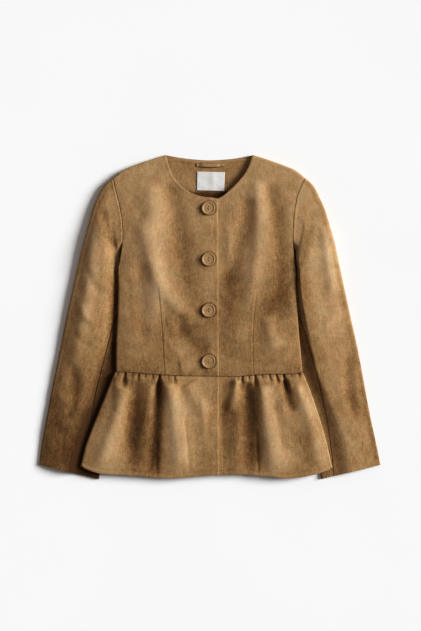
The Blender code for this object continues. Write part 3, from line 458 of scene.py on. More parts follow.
# Slits between the main ones: x, how far down, how deep, how far it leans
SMALL_GATHERS = {
    RIGHT: [
        (-167.5, 9, 1.4, -2),
        (-154, 10, 1.5, -1),
        (-140.4, 8, 1.3, -1),
        (-128.3, 9, 1.4, 0),
        (-115, 8, 1.3, -1),
        (-102.2, 9, 1.5, 0),
        (-88.2, 10, 1.5, 0.5),
        (-74, 8, 1.2, 1),
        (-61, 9, 1.1, 1.5),
    ],
    LEFT: [
        (46.5, 8, 1.1, -1),
        (57.6, 9, 1.3, 0),
        (67.8, 9, 1.4, 0),
        (79.4, 8, 1.3, 0),
        (91.4, 10, 1.5, 0.5),
        (104.4, 9, 1.4, 1),
        (118.6, 9, 1.4, 1),
        (132, 8, 1.3, 1.5),
        (145.8, 10, 1.5, 2),
        (158, 8, 1.3, 2),
        (169.5, 9, 1.3, 2),
    ],
}
BACK_GATHERS = [
    (-150, 16, 1, -3),
    (-128, 22, 1.3, -3),
    (-104, 15, 1, -2),
    (-82, 24, 1.4, -1),
    (-57, 16, 1.1, -1),
    (-33, 20, 1.2, 0),
    (-8, 15, 1, 0),
    (17, 22, 1.3, 0),
    (42, 16, 1.1, 1),
    (66, 21, 1.3, 1),
    (91, 15, 1, 2),
    (115, 23, 1.3, 2),
    (140, 16, 1, 3),
]
GATHER_GAIN = 1.8
SMALL_GAIN = 0.55
TUFT = {"rise": 1.8, "top": 2.8, "end": 24.0, "fade": 19.0}

# Darts from their tip to the waist seam, and the share across a front where the mesh has their column
DARTS = {
    RIGHT: [(-100.7, 75), (-92.2, -8.6), (-86.3, -107.4)],
    LEFT: [(89.3, 63.7), (81.7, -21.3), (82.1, -107.4)],
}
DART_COLUMN = 0.455
# How much painted shade darkens the line of each dart
DART_SHADE = {RIGHT: 0.03, LEFT: 0.10}
DART = {"depth": 0.3, "width": 0.9, "band": 0.45, "band_place": 3.6, "band_width": 2.2, "shade_width": 1.6}

# Patches where the front is painted lighter or darker, for light and shade and for the suede's brushing: x,
# y, half width, half height, change
FRONT_SHADE_PATCHES = [
    (-114, 24, 30, 38, 0.13),
    (-33, 33, 24, 48, -0.10),
    (34, 33, 20, 60, -0.16),
    (123, 24, 32, 44, -0.17),
    (-130, -200, 32, 80, -0.16),
    (42, -195, 20, 60, -0.11),
    (190, -246, 26, 46, -0.07),
    (-34, -88, 26, 15, 0.10),
    (-111, -30, 13, 44, 0.09),
]

# Faint line where each hem is turned up
HEM_LINE = 9.5
HEM_DEPTH = 0.3
CUFF_LINE = 12.0
# How much painted shade darkens the cloth in a seam
SEAM_SHADE = 0.12

# Unevenness of the cloth: size in mm, height in mm
WAVES = [(46.0, 0.55), (19.0, 0.22), (8.0, 0.07)]
PUCKER = {"size": 6.5, "height": 0.32, "reach": 7.0}

# Buttonholes, from the free end to under the button
BUTTONHOLE = {"start": -25.6, "end": -5.0, "half": 1.0, "pitch": 0.62, "thread": 0.2}
PIT_RADIUS = 1.05
PIT_DEPTH = 1.6
THREAD = 0.24

# Camera, lights and floor
VIEW_CENTRE = (0.0014, 0.00275)
VIEW_LENGTH = 1.1989
CAMERA_HEIGHT = 3.6
SENSOR = 36.0
FLOOR_HALF = 4.0
FLOOR_GAP = 0.0003
KEY = {"spread": 26.0, "elevation": 27.0, "azimuth": 15.0, "strength": 6.25, "colour": (0.972, 1.003, 1.022)}
WORLD = {"strength": 0.30, "colour": (1.0, 0.915, 0.86)}
GAMMA = 0.85


def ease(t):
    """0 to 1 with soft ends."""
    t = np.clip(t, 0.0, 1.0)
    return t * t * (3.0 - 2.0 * t)


def bell(away, width):
    """1 where away is 0, and nearly 0 at two widths from there."""
    return np.exp(-((away / width) ** 2))


def smooth(points, steps=12):
    """A smooth curve through the points, with so many steps between each two."""
    p = np.array(points, float)
    slope = np.gradient(p, axis=0)
    t = np.linspace(0.0, 1.0, steps + 1)[:-1, None]
    spans = []
    for k in range(len(p) - 1):
        near = (2 * t**3 - 3 * t**2 + 1) * p[k] + (t**3 - 2 * t**2 + t) * slope[k]
        far = (3 * t**2 - 2 * t**3) * p[k + 1] + (t**3 - t**2) * slope[k + 1]
        spans.append(near + far)
    return np.vstack([*spans, p[-1:]])


def at_share(line, share, shares=None):
    """Points of a line at shares of its list of points, from 0 to 1, or of the shares given for them."""
    if shares is None:
        shares = np.linspace(0.0, 1.0, len(line))
    return np.stack([np.interp(share, shares, line[:, k]) for k in range(line.shape[1])], axis=-1)


def along(line, share):
    """Points of a line at shares of its length."""
    gone = np.concatenate([[0.0], np.cumsum(np.linalg.norm(np.diff(line, axis=0), axis=1))])
    return at_share(line, share, gone / gone[-1])


def even(points):
    """The smooth curve through the points, with evenly spaced points of its own."""
    return along(smooth(points), np.linspace(0.0, 1.0, LINE_POINTS))


def straight(start, end):
    return np.linspace(start, end, LINE_POINTS)


def waist_y(x):
    line = even(WAIST)
    return np.interp(x, line[:, 0], line[:, 1])


def waist_line(start_x, end_x, gap):
    """The waist seam between two x, moved up by the gap."""
    x = straight(start_x, end_x)
    return np.stack([x, waist_y(x) + gap], axis=-1)


def unit(directions):
    return directions / np.linalg.norm(directions, axis=-1)[..., None]


def across(line):
    """Unit directions square to a line, all on one side of it."""
    run = np.gradient(line, axis=0)
    return unit(np.stack([-run[:, 1], run[:, 0]], axis=-1))


def shoulder_edge(shoulder):
    """A shoulder's outline and the directions out of it."""
    ridge = even(shoulder)
    away = across(ridge)
    return ridge, away * np.sign(away[:, 1:])


def shoulder_tail(share):
    """How far the front goes back over a shoulder, at shares from the arm to the neck."""
    return SHOULDER_TAIL_ARM + (SHOULDER_TAIL_NECK - SHOULDER_TAIL_ARM) * share


def patch(foot, top, outer, inner, u, v):
    """Plan points between four edges; each edge is a line, u runs across and v along."""
    low, high = at_share(foot, u), at_share(top, u)
    left, right = at_share(outer, v), at_share(inner, v)
    u, v = u[..., None], v[..., None]
    corners = (1 - u) * ((1 - v) * foot[0] + v * top[0]) + u * ((1 - v) * foot[-1] + v * top[-1])
    return (1 - v) * low + v * high + (1 - u) * left + u * right - corners


def from_line(line, x, y):
    """Each point's distance from a line, its share along it and the side it is on, +1 or -1."""
    near = np.full(np.shape(x), np.inf)
    share, hand = np.zeros_like(near), np.ones_like(near)
    spans = len(line) - 1
    for k in range(spans):
        start, run = line[k], line[k + 1] - line[k]
        part = np.clip(((x - start[0]) * run[0] + (y - start[1]) * run[1]) / (run @ run), 0.0, 1.0)
        dx, dy = x - start[0] - part * run[0], y - start[1] - part * run[1]
        gap = dx * dx + dy * dy
        nearer = gap < near
        near = np.where(nearer, gap, near)
        share = np.where(nearer, (k + part) / spans, share)
        hand = np.where(nearer, np.sign(run[0] * dy - run[1] * dx), hand)
    return np.sqrt(near), share, hand


def folds(table, x, y, wide=1.0, start=0.22):
    """The height that a table of folds adds at each point; each fold is steeper on one side."""
    total = np.zeros_like(x)
    for ax, ay, bx, by, cx, cy, rise, start_width, end_width in table:
        line = smooth([(ax, ay), (bx, by), (cx, cy)])
        away, share, hand = from_line(line, x, y)
        width = wide * (start_width + (end_width - start_width) * share) * (1.0 + FOLD_LEAN * hand)
        window = ease(share / start) * ease((1.0 - share) / FOLD_FADE)
        total += rise * window * bell(away, width)
    return total


def slits(table, x, down, gain):
    """Slits that run down from the waist seam, and close as they go."""
    total = np.zeros_like(x)
    for place, length, depth, lean in table:
        middle = place + lean * down / length
        width = GATHER_WIDTH + GATHER_WIDEN * down
        end = ease((down - GATHER_SHOULDER * length) / length)
        total -= gain * depth * ease((down + 2.6) / 3.8) * (1.0 - end) * bell(x - middle, width)
    return total


def swelling(form, down):
    return form["rise"] * ease(down / form["top"]) * ease((form["end"] - down) / form["fade"])


def gathers(x, y):
    """Puffs and slits where the peplum is gathered into the waist seam."""
    down = np.maximum(waist_y(x) - y, 0.0)
    puffs, cuts = np.zeros_like(x), np.zeros_like(x)
    for side in (RIGHT, LEFT):
        table, small = GATHERS[side], SMALL_GATHERS[side]
        places = [row[0] for row in table]
        within = ease((x - min(places) + 14.0) / 12.0) * ease((max(places) + 12.0 - x) / 12.0)
        puffs += (swelling(PUFF, down) + swelling(TUFT, down)) * within
        cuts += slits(table, x, down, GATHER_GAIN) + slits(small, x, down, SMALL_GAIN)
    return puffs, cuts


def body_edges(y):
    """The x of the jacket's right and left outline, without the sleeves."""
    lines = [np.vstack([even(FLARES[side])[::-1], np.array(FRONTS[side])[:, :2]]) for side in (RIGHT, LEFT)]
    return [np.interp(y, line[:, 1], line[:, 0]) for line in lines]


def wavy(x, y, size, shift=0.0):
    """Smooth unevenness from -1 to 1, the same on every piece that passes a point."""
    flat = [noise.noise(Vector((a / size, b / size, shift))) for a, b in zip(x.ravel(), y.ravel())]
    return np.array(flat).reshape(x.shape) * 1.6


def unevenness(x, y):
    return sum(height * wavy(x, y, size, size) for size, height in WAVES)


def front_form(x, y):
    """How high the outer side of the front lies, and how far its folds raise it."""
    rows = np.array(LAY)[::-1]
    side = np.interp(y, rows[:, 0], rows[:, 1])
    middle = np.interp(y, rows[:, 0], rows[:, 2])
    right, left = body_edges(y)
    room = np.clip(np.minimum(x - right, left - x) / SIDE_ROUNDING, 0.0, 1.0)
    base = side + (middle - side) * (1.0 - (1.0 - room) ** 2)
    from_seam = y - waist_y(x)
    dip = SEAM_DIP * bell(from_seam, SEAM_DIP_WIDTH)
    bodice = BODICE_GAIN * folds(BODICE_FOLDS, x, y, BODICE_WIDER, BODICE_START)
    bodice = bodice + folds(BODICE_CREASES, x, y, BODICE_WIDER)
    peplum = PEPLUM_GAIN * folds(PEPLUM_FOLDS, x, y, 1.0, PEPLUM_START) + folds(PEPLUM_CREASES, x, y)
    puffs, cuts = gathers(x, y)
    below = from_seam < 0.0
    raised = np.where(below, peplum + cuts, bodice)
    return base - dip + np.where(below, peplum + puffs + cuts, bodice), raised


def front_height(x, y):
    return front_form(x, y)[0]


def lapped_by(x):
    """How much lower the left front lies where it runs under the right one."""
    return LAP_DROP * (1.0 - ease((x - LAP_EDGE) / LAP_SLOPE))


def back_height(x, y):
    """How high the underside lies: flat, but lifted over the sleeves' inner edges."""
    low = np.zeros_like(x)
    for side, table in SLEEVES.items():
        rows = np.array(table)[::-1]
        fold = np.interp(y, rows[:, 3], rows[:, 2])
        past = side * (fold - x) - LIFT_START
        low = np.maximum(low, 1.0 - ease(past / LIFT_SLOPE))
    return LIFT * low * (1.0 - ease((y - ARM_JOIN_Y) / LIFT_END))


def with_height(plan, height):
    return np.concatenate([plan, height[..., None]], axis=-1)


def lengths(points, axis):
    """The distance gone along a grid, from its first row or column."""
    steps = np.linalg.norm(np.diff(points, axis=axis), axis=-1)
    gone = np.cumsum(steps, axis=axis)
    return np.concatenate([np.zeros_like(np.take(gone, [0], axis=axis)), gone], axis=axis)


def to_border(points, axis, last):
    """Each grid point's distance along the grid from its first or last row or column."""
    gone = lengths(points, axis)
    return np.take(gone, [-1], axis=axis) - gone if last else gone


def to_ends(points, axis):
    """Each grid point's distance from the nearer of its first and last row or column."""
    return np.minimum(to_border(points, axis, False), to_border(points, axis, True))


def rolled(away, radius):
    """How far an edge curls down, by the distance from it."""
    inside = np.clip(radius - away, 0.0, radius)
    return radius - np.sqrt(np.maximum(radius**2 - inside**2, 0.0))


def rim(away, rise=RIM_RISE):
    """The slight bulge behind a turned edge."""
    return rise * bell(away - RIM_PLACE, RIM_WIDTH)


def line_at(away, place, depth, width=0.9):
    return -depth * bell(away - place, width)


def pucker(x, y, away):
    """Small waves beside a seam."""
    return PUCKER["height"] * np.exp(-away / PUCKER["reach"]) * wavy(x, y, PUCKER["size"], 31.0)


def spaced(length, cell, fine=(), marks=()):
    """Shares from 0 to 1: even cells, with close ones beside each fine place, in millimetres."""
    places = [[0.0, length], list(marks)]
    for place in fine:
        places += [place - FINE, place + FINE]
    places = np.concatenate(places)
    places = np.unique(places[(places >= 0.0) & (places <= length)].round(3))
    kept = [places[0]]
    for place in places[1:]:
        if place - kept[-1] > 0.2 or place in marks:
            kept.append(place)
    kept[-1] = length
    shares = []
    for a, b in zip(kept[:-1], kept[1:]):
        count = max(1, round((b - a) / cell))
        shares.append(np.linspace(a, b, count + 1)[:-1])
    return np.concatenate([*shares, [length]]) / length


def placed(name, data):
    """A new object in the scene."""
    obj = bpy.data.objects.new(name, data)
    bpy.context.scene.collection.objects.link(obj)
    return obj


def stands_for(piece, node):
    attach(piece, "root")
    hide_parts(node)


def cloth_object(name, points, tone, skin, shift, keep=None, thick=CLOTH):
    """A thin wall under a grid of outer points, with its tone and its place in the cloth at each point."""
    rows, columns = points.shape[:2]
    lean, apart = shift
    across_it = points[..., 0] * math.cos(lean) + points[..., 1] * math.sin(lean)
    along_it = points[..., 1] * math.cos(lean) - points[..., 0] * math.sin(lean)
    grain = np.stack([across_it, along_it, points[..., 2] + apart], axis=-1)
    keep = np.ones((rows - 1, columns - 1), bool) if keep is None else keep
    number = np.arange(rows * columns).reshape(rows, columns)
    faces = np.stack([number[:-1, :-1], number[:-1, 1:], number[1:, 1:], number[1:, :-1]], axis=-1)[keep]
    used, faces = np.unique(faces, return_inverse=True)
    faces = faces.reshape(-1, 4)
    mesh = bpy.data.meshes.new(name)
    places = (points.reshape(-1, 3)[used] - ORIGIN) * MM
    mesh.from_pydata(places.tolist(), [], faces.tolist())
    # The tone carries the painted light and shade to the material
    shade_and_nap = tone.ravel()[used].astype(np.float32)
    mesh.attributes.new("shade_and_nap", "FLOAT", "POINT").data.foreach_set("value", shade_and_nap)
    spread = (grain.reshape(-1, 3)[used] * MM).astype(np.float32)
    mesh.attributes.new("grain", "FLOAT_VECTOR", "POINT").data.foreach_set("vector", spread.ravel())
    mesh.materials.append(skin)
    mesh.shade_smooth()
    obj = placed(name, mesh)
    wall = obj.modifiers.new("wall", "SOLIDIFY")
    wall.thickness = thick * MM
    wall.offset = -1.0
    wall.use_quality_normals = True
    return obj


def suede_piece(name, points, tone, skin, keep=None):
    """A piece of suede cloth, which stands for its node."""
    node, lean, apart, width, length, area = CLOTHS[name]
    piece = cloth_object(name, points, tone, skin, (lean, apart), keep)
    stands_for(piece, node)


def turn_rows(edge, away, radius, low, steps=FINE_TURN):
    """Rows that carry the edge of a top side round to the underside."""
    centre, half = (edge[:, 2] + low) / 2.0, (edge[:, 2] - low) / 2.0
    rows = []
    for step in range(1, steps + 1):
        angle = math.pi * step / steps
        plan = edge[:, :2] + away * (radius * math.sin(angle))[:, None]
        rows.append(with_height(plan, centre + half * math.cos(angle)))
    return rows


def turn_and_tail(edge, away, radius, low, tail):
    """The turned rows, and those that run back inwards below by the tail."""
    rows = turn_rows(edge, away, np.full(len(edge), radius), low)
    for share in (0.3, 0.65, 0.9, 1.0):
        sunk = rolled((1.0 - share) * tail, SEAM_ROLL)
        rows.append(with_height(edge[:, :2] - away * (tail * share)[:, None], low + sunk))
    return rows


def wrapped(face, tone, turned):
    """A top side with its turned columns before the first one, and the tone of all of them."""
    whole = np.concatenate([np.stack(turned[::-1], axis=1), face], axis=1)
    return whole, np.concatenate([np.repeat(tone[:, :1], len(turned), axis=1), tone], axis=1)


def side_turn(edge, side):
    """The turn round the jacket's side, at the first points of a front; it starts small at the underarm."""
    out = np.tile([side, 0.0], (len(edge), 1))
    low = back_height(edge[:, 0], edge[:, 1])
    radius = np.interp(edge[:, 1], UNDERARM_FROM_TO, [SIDE_TURN, UNDERARM_TURN])
    return turn_and_tail(edge, out, radius, low, SIDE_TAIL + SIDE_TURN - radius)


def fold_light_and_shade(raised, strength=0.045):
    """Painted highlight on ridges and painted shade in valleys."""
    return 0.5 + np.clip(raised * strength, -0.34, 0.22)


def front_light_and_shade(x, y):
    """Painted light and shade, with the suede's brushing: lighter towards the shoulders, darker above the
    waist, and lighter or darker in patches.
    """
    tone = 0.07 * np.clip((y - 40.0) / 150.0, -1.0, 1.0) * ease((y + 115.0) / 10.0)
    for place_x, place_y, wide, high, change in FRONT_SHADE_PATCHES:
        tone = tone + change * bell(x - place_x, wide) * bell(y - place_y, high)
    return tone


def warped(u, rows_y, dart, outer, inner):
    """Shares across a front, moved so that one column follows the dart."""
    line = smooth(dart)[::-1]
    reach = np.clip(rows_y, line[:, 1].min(), line[:, 1].max() + 60.0)
    x = np.interp(reach, line[:, 1], line[:, 0])
    target = (x - outer) / (inner - outer)
    target = np.clip(target, DART_COLUMN - 0.12, DART_COLUMN + 0.12)
    bump = np.where(u < DART_COLUMN, u / DART_COLUMN, (1.0 - u) / (1.0 - DART_COLUMN))
    return u + (target - DART_COLUMN)[:, None] * ease(bump)[None, :]


def dart_relief(dart, x, y):
    """The dart's groove, the raised band on the side of it that is nearer the centre, and a narrow band along
    it where shade is painted.
    """
    line = smooth(dart)
    away, share, hand = from_line(line, x, y)
    start = ease(share / 0.3)
    centre_side = hand * np.sign(line[0, 0]) * -1.0
    across_it = away * np.where(centre_side > 0.0, 1.0, -1.0)
    groove = -DART["depth"] * bell(away, DART["width"])
    band = DART["band"] * bell(across_it - DART["band_place"], DART["band_width"])
    return start * (groove + band), start * bell(away, DART["shade_width"])


def button_places():
    return [BUTTON_TOP_Y - BUTTON_PITCH * number for number in range(BUTTON_COUNT)]


def button_foot(number):
    """The height of a button's lower face, in the part's millimetres."""
    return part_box(f"button_{number + 1}")[0].z / MM


def under_buttons(x, y, height):
    """The cloth's height, pressed down under each button and swelling a little round it."""
    for number, place in enumerate(button_places()):
        away = np.hypot(x - BUTTON_X, y - place)
        height = height + 0.9 * bell(away - BUTTON_RADIUS - 4.0, 3.0)
        least = button_foot(number) - 0.15
        inside = 1.0 - ease((away - BUTTON_RADIUS - 0.3) / 2.4)
        height = height + (np.minimum(height, least) - height) * inside
    return height


def button_shade_ring(x, y):
    """1 on a thin ring round each button, where the cloth is pressed and painted shade darkens it, and 0 away
    from it.
    """
    away = np.min([np.hypot(x - BUTTON_X, y - place) for place in button_places()], axis=0)
    return bell(away - BUTTON_RADIUS - 0.6, 1.5)


def front_panel(name, side, skin):
    """One bodice front: its top side, the turn round its side and the turn over its shoulder."""
    table, shoulder, dart = np.array(FRONTS[side]), SHOULDERS[side], DARTS[side]
    last = len(table) - 1
    outer, inner = table[:, :2].copy(), table[:, 2:].copy()
    outer[:UNDERARM, 0] -= side * SIDE_TURN
    outer[UNDERARM, 0] -= side * UNDERARM_TURN
    outer[UNDERARM + 1 :, 0] -= side * SEAM_GAP / 2
    foot = waist_line(outer[0, 0], inner[0, 0], SEAM_GAP / 2)
    ridge, away = shoulder_edge(shoulder)
    top = ridge - away * SHOULDER_TURN
    outer[0], outer[-1] = foot[0], top[0]
    inner[0], inner[-1] = foot[-1], top[-1]
    gone = (lengths(outer, 0) + lengths(inner, 0)) / 2.0
    fine_rows = spaced(gone[-1], CELL, fine=(0.0,), marks=(gone[UNDERARM],)) * gone[-1]
    rows = np.interp(fine_rows, gone, np.arange(last + 1.0))
    start = int(np.abs(rows - UNDERARM).argmin())
    rows[start] = UNDERARM
    v = rows / last
    width = abs(inner[0, 0] - outer[0, 0])
    columns = spaced(width, CELL, fine=(0.0, width, DART_COLUMN * width))
    outer_line, inner_line = smooth(outer), smooth(inner)
    edge_out, edge_in = at_share(outer_line, v), at_share(inner_line, v)
    u = warped(columns, edge_out[:, 1], dart, edge_out[:, 0], edge_in[:, 0])
    v = v[:, None] * np.ones_like(u)
    plan = patch(foot, top, outer_line, inner_line, u, v)
    x, y = plan[..., 0], plan[..., 1]
    height, raised = front_form(x, y)
    if side == LEFT:
        height = height - lapped_by(x)
    to_waist = to_border(plan, 0, last=False)
    to_centre = to_border(plan, 1, last=True)
    to_arm = to_border(plan, 1, last=False) + 40.0 * (1.0 - ease((v * last - UNDERARM + 0.1) / 0.5))
    pleat, dart_shade = dart_relief(dart, x, y)
    height = height + unevenness(x, y) + pleat + rim(to_centre)
    height = height + pucker(x, y, np.minimum(to_waist, to_arm))
    if side == RIGHT:
        height = under_buttons(x, y, height)
    height = height - rolled(to_waist, SEAM_ROLL) - rolled(to_centre, EDGE_ROLL) - rolled(to_arm, SEAM_ROLL)
    # Painted light and shade: highlights on fold ridges, shade in valleys and along the dart, and patches
    # over the front
    tone = fold_light_and_shade(raised) + front_light_and_shade(x, y) - DART_SHADE[side] * dart_shade
    # Painted shade on a ring round each button
    if side == RIGHT:
        tone -= 0.22 * button_shade_ring(x, y)
    # Painted shade in the waist and armhole seams
    tone -= SEAM_SHADE * bell(np.minimum(to_waist, to_arm), 1.0)
    face = with_height(plan, height)
    wrap = side_turn(face[:, 0], side)
    body, body_tone = wrapped(face, tone, wrap)
    out = unit(at_share(away, u[-1]))
    over = turn_and_tail(face[-1], out, SHOULDER_TURN, np.zeros(len(columns)), shoulder_tail(u[-1]))
    blank = np.tile(body[-1:, : len(wrap)], (len(over), 1, 1))
    whole = np.concatenate([body, np.concatenate([blank, np.stack(over)], axis=1)], axis=0)
    tones = np.concatenate([body_tone, np.repeat(body_tone[-1:], len(over), axis=0)], axis=0)
    keep = np.ones((len(whole) - 1, whole.shape[1] - 1), bool)
    keep[start:, : len(wrap)] = False
    if side == LEFT:
        whole, keep, tones = whole[:, ::-1], keep[:, ::-1], tones[:, ::-1]
    suede_piece(name, whole, tones, skin, keep)


def back_side(side):
    """The back's edge up one side, and its shoulder seam from the arm to the neck."""
    ridge, away = shoulder_edge(SHOULDERS[side])
    back_by = SHOULDER_TURN + shoulder_tail(np.linspace(0.0, 1.0, LINE_POINTS)) + SEAM_GAP
    seam = ridge - away * back_by[:, None]
    outer = np.array(FRONTS[side])[:, :2]
    outer[: UNDERARM + 1, 0] -= side * (SIDE_TURN + SIDE_TAIL + SEAM_GAP)
    outer[UNDERARM + 1 :, 0] -= side * SEAM_GAP / 2
    outer[UNDERARM, 1] += 3.0
    outer[-1] = seam[0]
    outer[-2] = (outer[-3] + outer[-1]) / 2
    return outer, seam


def lying(plan):
    """The underside of the back: flat where it rests, with small hollows between."""
    x, y = plan[..., 0], plan[..., 1]
    low = back_height(x, y)
    clear = ease((232.0 - y) / 30.0)
    hollows = np.maximum(folds(BACK_CREASES, x, y) * clear, 0.0)
    edges = rolled(np.minimum(to_ends(plan, 0), to_ends(plan, 1)), SEAM_ROLL)
    return low + hollows + edges, hollows


def back_panel(skin):
    """The bodice back, from the side seams to the shoulder seams and the neck."""
    (right, right_seam), (left, left_seam) = back_side(RIGHT), back_side(LEFT)
    foot = waist_line(right[0, 0], left[0, 0], SEAM_GAP / 2)
    right[0], left[0] = foot[0], foot[-1]
    kept = LINE_POINTS - SEAM_SHORT
    edge = np.vstack([right_seam[:kept], even(BACK_NECK), left_seam[:kept][::-1]])
    gone = np.cumsum(np.linalg.norm(np.diff(edge, axis=0), axis=1))
    neck_corners = 330.0 * gone[[kept - 1, -kept - 1]] / gone[-1]
    top = along(edge, np.linspace(0.0, 1.0, 5 * LINE_POINTS))
    columns = spaced(330.0, BACK_CELL, fine=(0.0, 330.0), marks=neck_corners)
    rows = spaced(400.0, BACK_CELL, fine=(0.0, 400.0))
    u, v = np.meshgrid(columns, rows)
    plan = patch(foot, top, smooth(right), smooth(left), u, v)
    height, hollows = lying(plan)
    face = with_height(plan, height)
    # The tone is painted light where the underside rises off the floor
    suede_piece("back_cloth", face[:, ::-1], fold_light_and_shade(hollows)[:, ::-1], skin)


def down_peplum(length):
    """Shares down the peplum, close together below the waist seam."""
    places = [0.0]
    while places[-1] < length:
        places.append(places[-1] + np.interp(places[-1], [0.0, 14.0, 40.0], [1.1, 1.5, CELL]))
    places = np.unique(np.concatenate([np.array(places), FINE, length - FINE]).clip(0.0, length))
    kept = np.concatenate([[True], np.diff(places) > 0.25])
    places = places[kept]
    places[-1] = length
    return places / length


def hem_between(start, end_x):
    """The hem from a corner of the peplum to an x."""
    hem = smooth(HEM)
    low, high = sorted([start[0], end_x])
    inside = hem[(hem[:, 0] > low) & (hem[:, 0] < high)]
    if end_x < start[0]:
        inside = inside[::-1]
    return np.vstack([start, inside, [end_x, np.interp(end_x, hem[:, 0], hem[:, 1])]])


def peplum_front(name, side, skin):
    """One half of the gathered peplum, turned round its side."""
    centre = CENTRES[side]
    outer = even(FLARES[side]) - np.array([side * SIDE_TURN, 0.0])
    foot = waist_line(outer[0, 0], centre[0], -SEAM_GAP / 2)
    outer[0] = foot[0]
    hem = hem_between(outer[-1], centre[1])
    shares = np.array(SPREADS[side])
    hem_line = along(hem, np.interp(straight(0.0, 1.0), shares[:, 0], shares[:, 1]))
    inner = straight(foot[-1], hem[-1])
    width = abs(centre[0] - foot[0, 0])
    columns = spaced(width, 1.5, fine=(width,))
    u, v = np.meshgrid(columns, down_peplum(190.0))
    plan = patch(foot, hem_line, outer, inner, u, v)
    x, y = plan[..., 0], plan[..., 1]
    height, raised = front_form(x, y)
    if side == LEFT:
        height = height - lapped_by(x)
    to_waist = to_border(plan, 0, last=False)
    to_hem = to_border(plan, 0, last=True)
    to_centre = to_border(plan, 1, last=True)
    height = height + unevenness(x, y) + rim(to_centre) + rim(to_hem, 0.3)
    height = height + line_at(to_hem, HEM_LINE, HEM_DEPTH) + pucker(x, y, to_waist)
    height = height - rolled(to_waist, SEAM_ROLL) - rolled(to_centre, EDGE_ROLL) - rolled(to_hem, EDGE_ROLL)
    # Painted light and shade: on the folds and in patches, a painted highlight along the hem's rolled edge,
    # and painted shade in the hem's turned line and the waist seam
    tone = fold_light_and_shade(raised) + front_light_and_shade(x, y) + 0.03 * bell(to_hem, 1.6)
    tone -= 0.06 * bell(to_hem - HEM_LINE, 1.2) + SEAM_SHADE * bell(to_waist, 0.9)
    face = with_height(plan, height)
    whole, tones = wrapped(face, tone, side_turn(face[:, 0], side))
    if side == LEFT:
        whole, tones = whole[:, ::-1], tones[:, ::-1]
    suede_piece(name, whole[::-1], tones[::-1], skin)


def from_corner(corner, line):
    """A side edge of the peplum's back, led from its corner at the waist seam."""
    return along(np.vstack([corner, line[line[:, 1] < corner[1] - 1.5]]), straight(0.0, 1.0))


def peplum_back(skin):
    """The peplum's back, which lies flat between its side seams."""
    tuck = np.array([SIDE_TURN + SIDE_TAIL + SEAM_GAP, 0.0])
    right, left = even(FLARES[RIGHT]) + tuck, even(FLARES[LEFT]) - tuck
    foot = waist_line(right[0, 0], left[0, 0], -SEAM_GAP / 2)
    right, left = from_corner(foot[0], right), from_corner(foot[-1], left)
    hem = smooth(HEM) + np.array([0.0, BACK_HEM_RISE])
    inside = hem[(hem[:, 0] > right[-1, 0]) & (hem[:, 0] < left[-1, 0])]
    right[-1, 1], left[-1, 1] = inside[0, 1], inside[-1, 1]
    hem_line = along(np.vstack([right[-1], inside, left[-1]]), straight(0.0, 1.0))
    u, v = np.meshgrid(spaced(400.0, 3.6), spaced(190.0, 4.0, fine=(0.0, 190.0)))
    plan = patch(foot, hem_line, right, left, u, v)
    height, hollows = lying(plan)
    down = np.maximum(waist_y(plan[..., 0]) - plan[..., 1], 0.0)
    height = height - slits(BACK_GATHERS, plan[..., 0], down, 1.0) * ease(down / 9.0)
    face = with_height(plan, height)
    # The tone is painted light where the underside rises off the floor
    suede_piece("peplum_back_cloth", face, fold_light_and_shade(hollows), skin)


def armhole_line(side):
    """The sleeve's edge at the armhole, from the shoulder down to where the inner fold starts."""
    front = np.array(FRONTS[side])[UNDERARM:, :2]
    line = smooth(front[::-1]) + np.array([side * SEAM_GAP / 2, 0.0])
    return along(line[line[:, 1] > ARM_JOIN_Y], straight(0.0, 1.0))


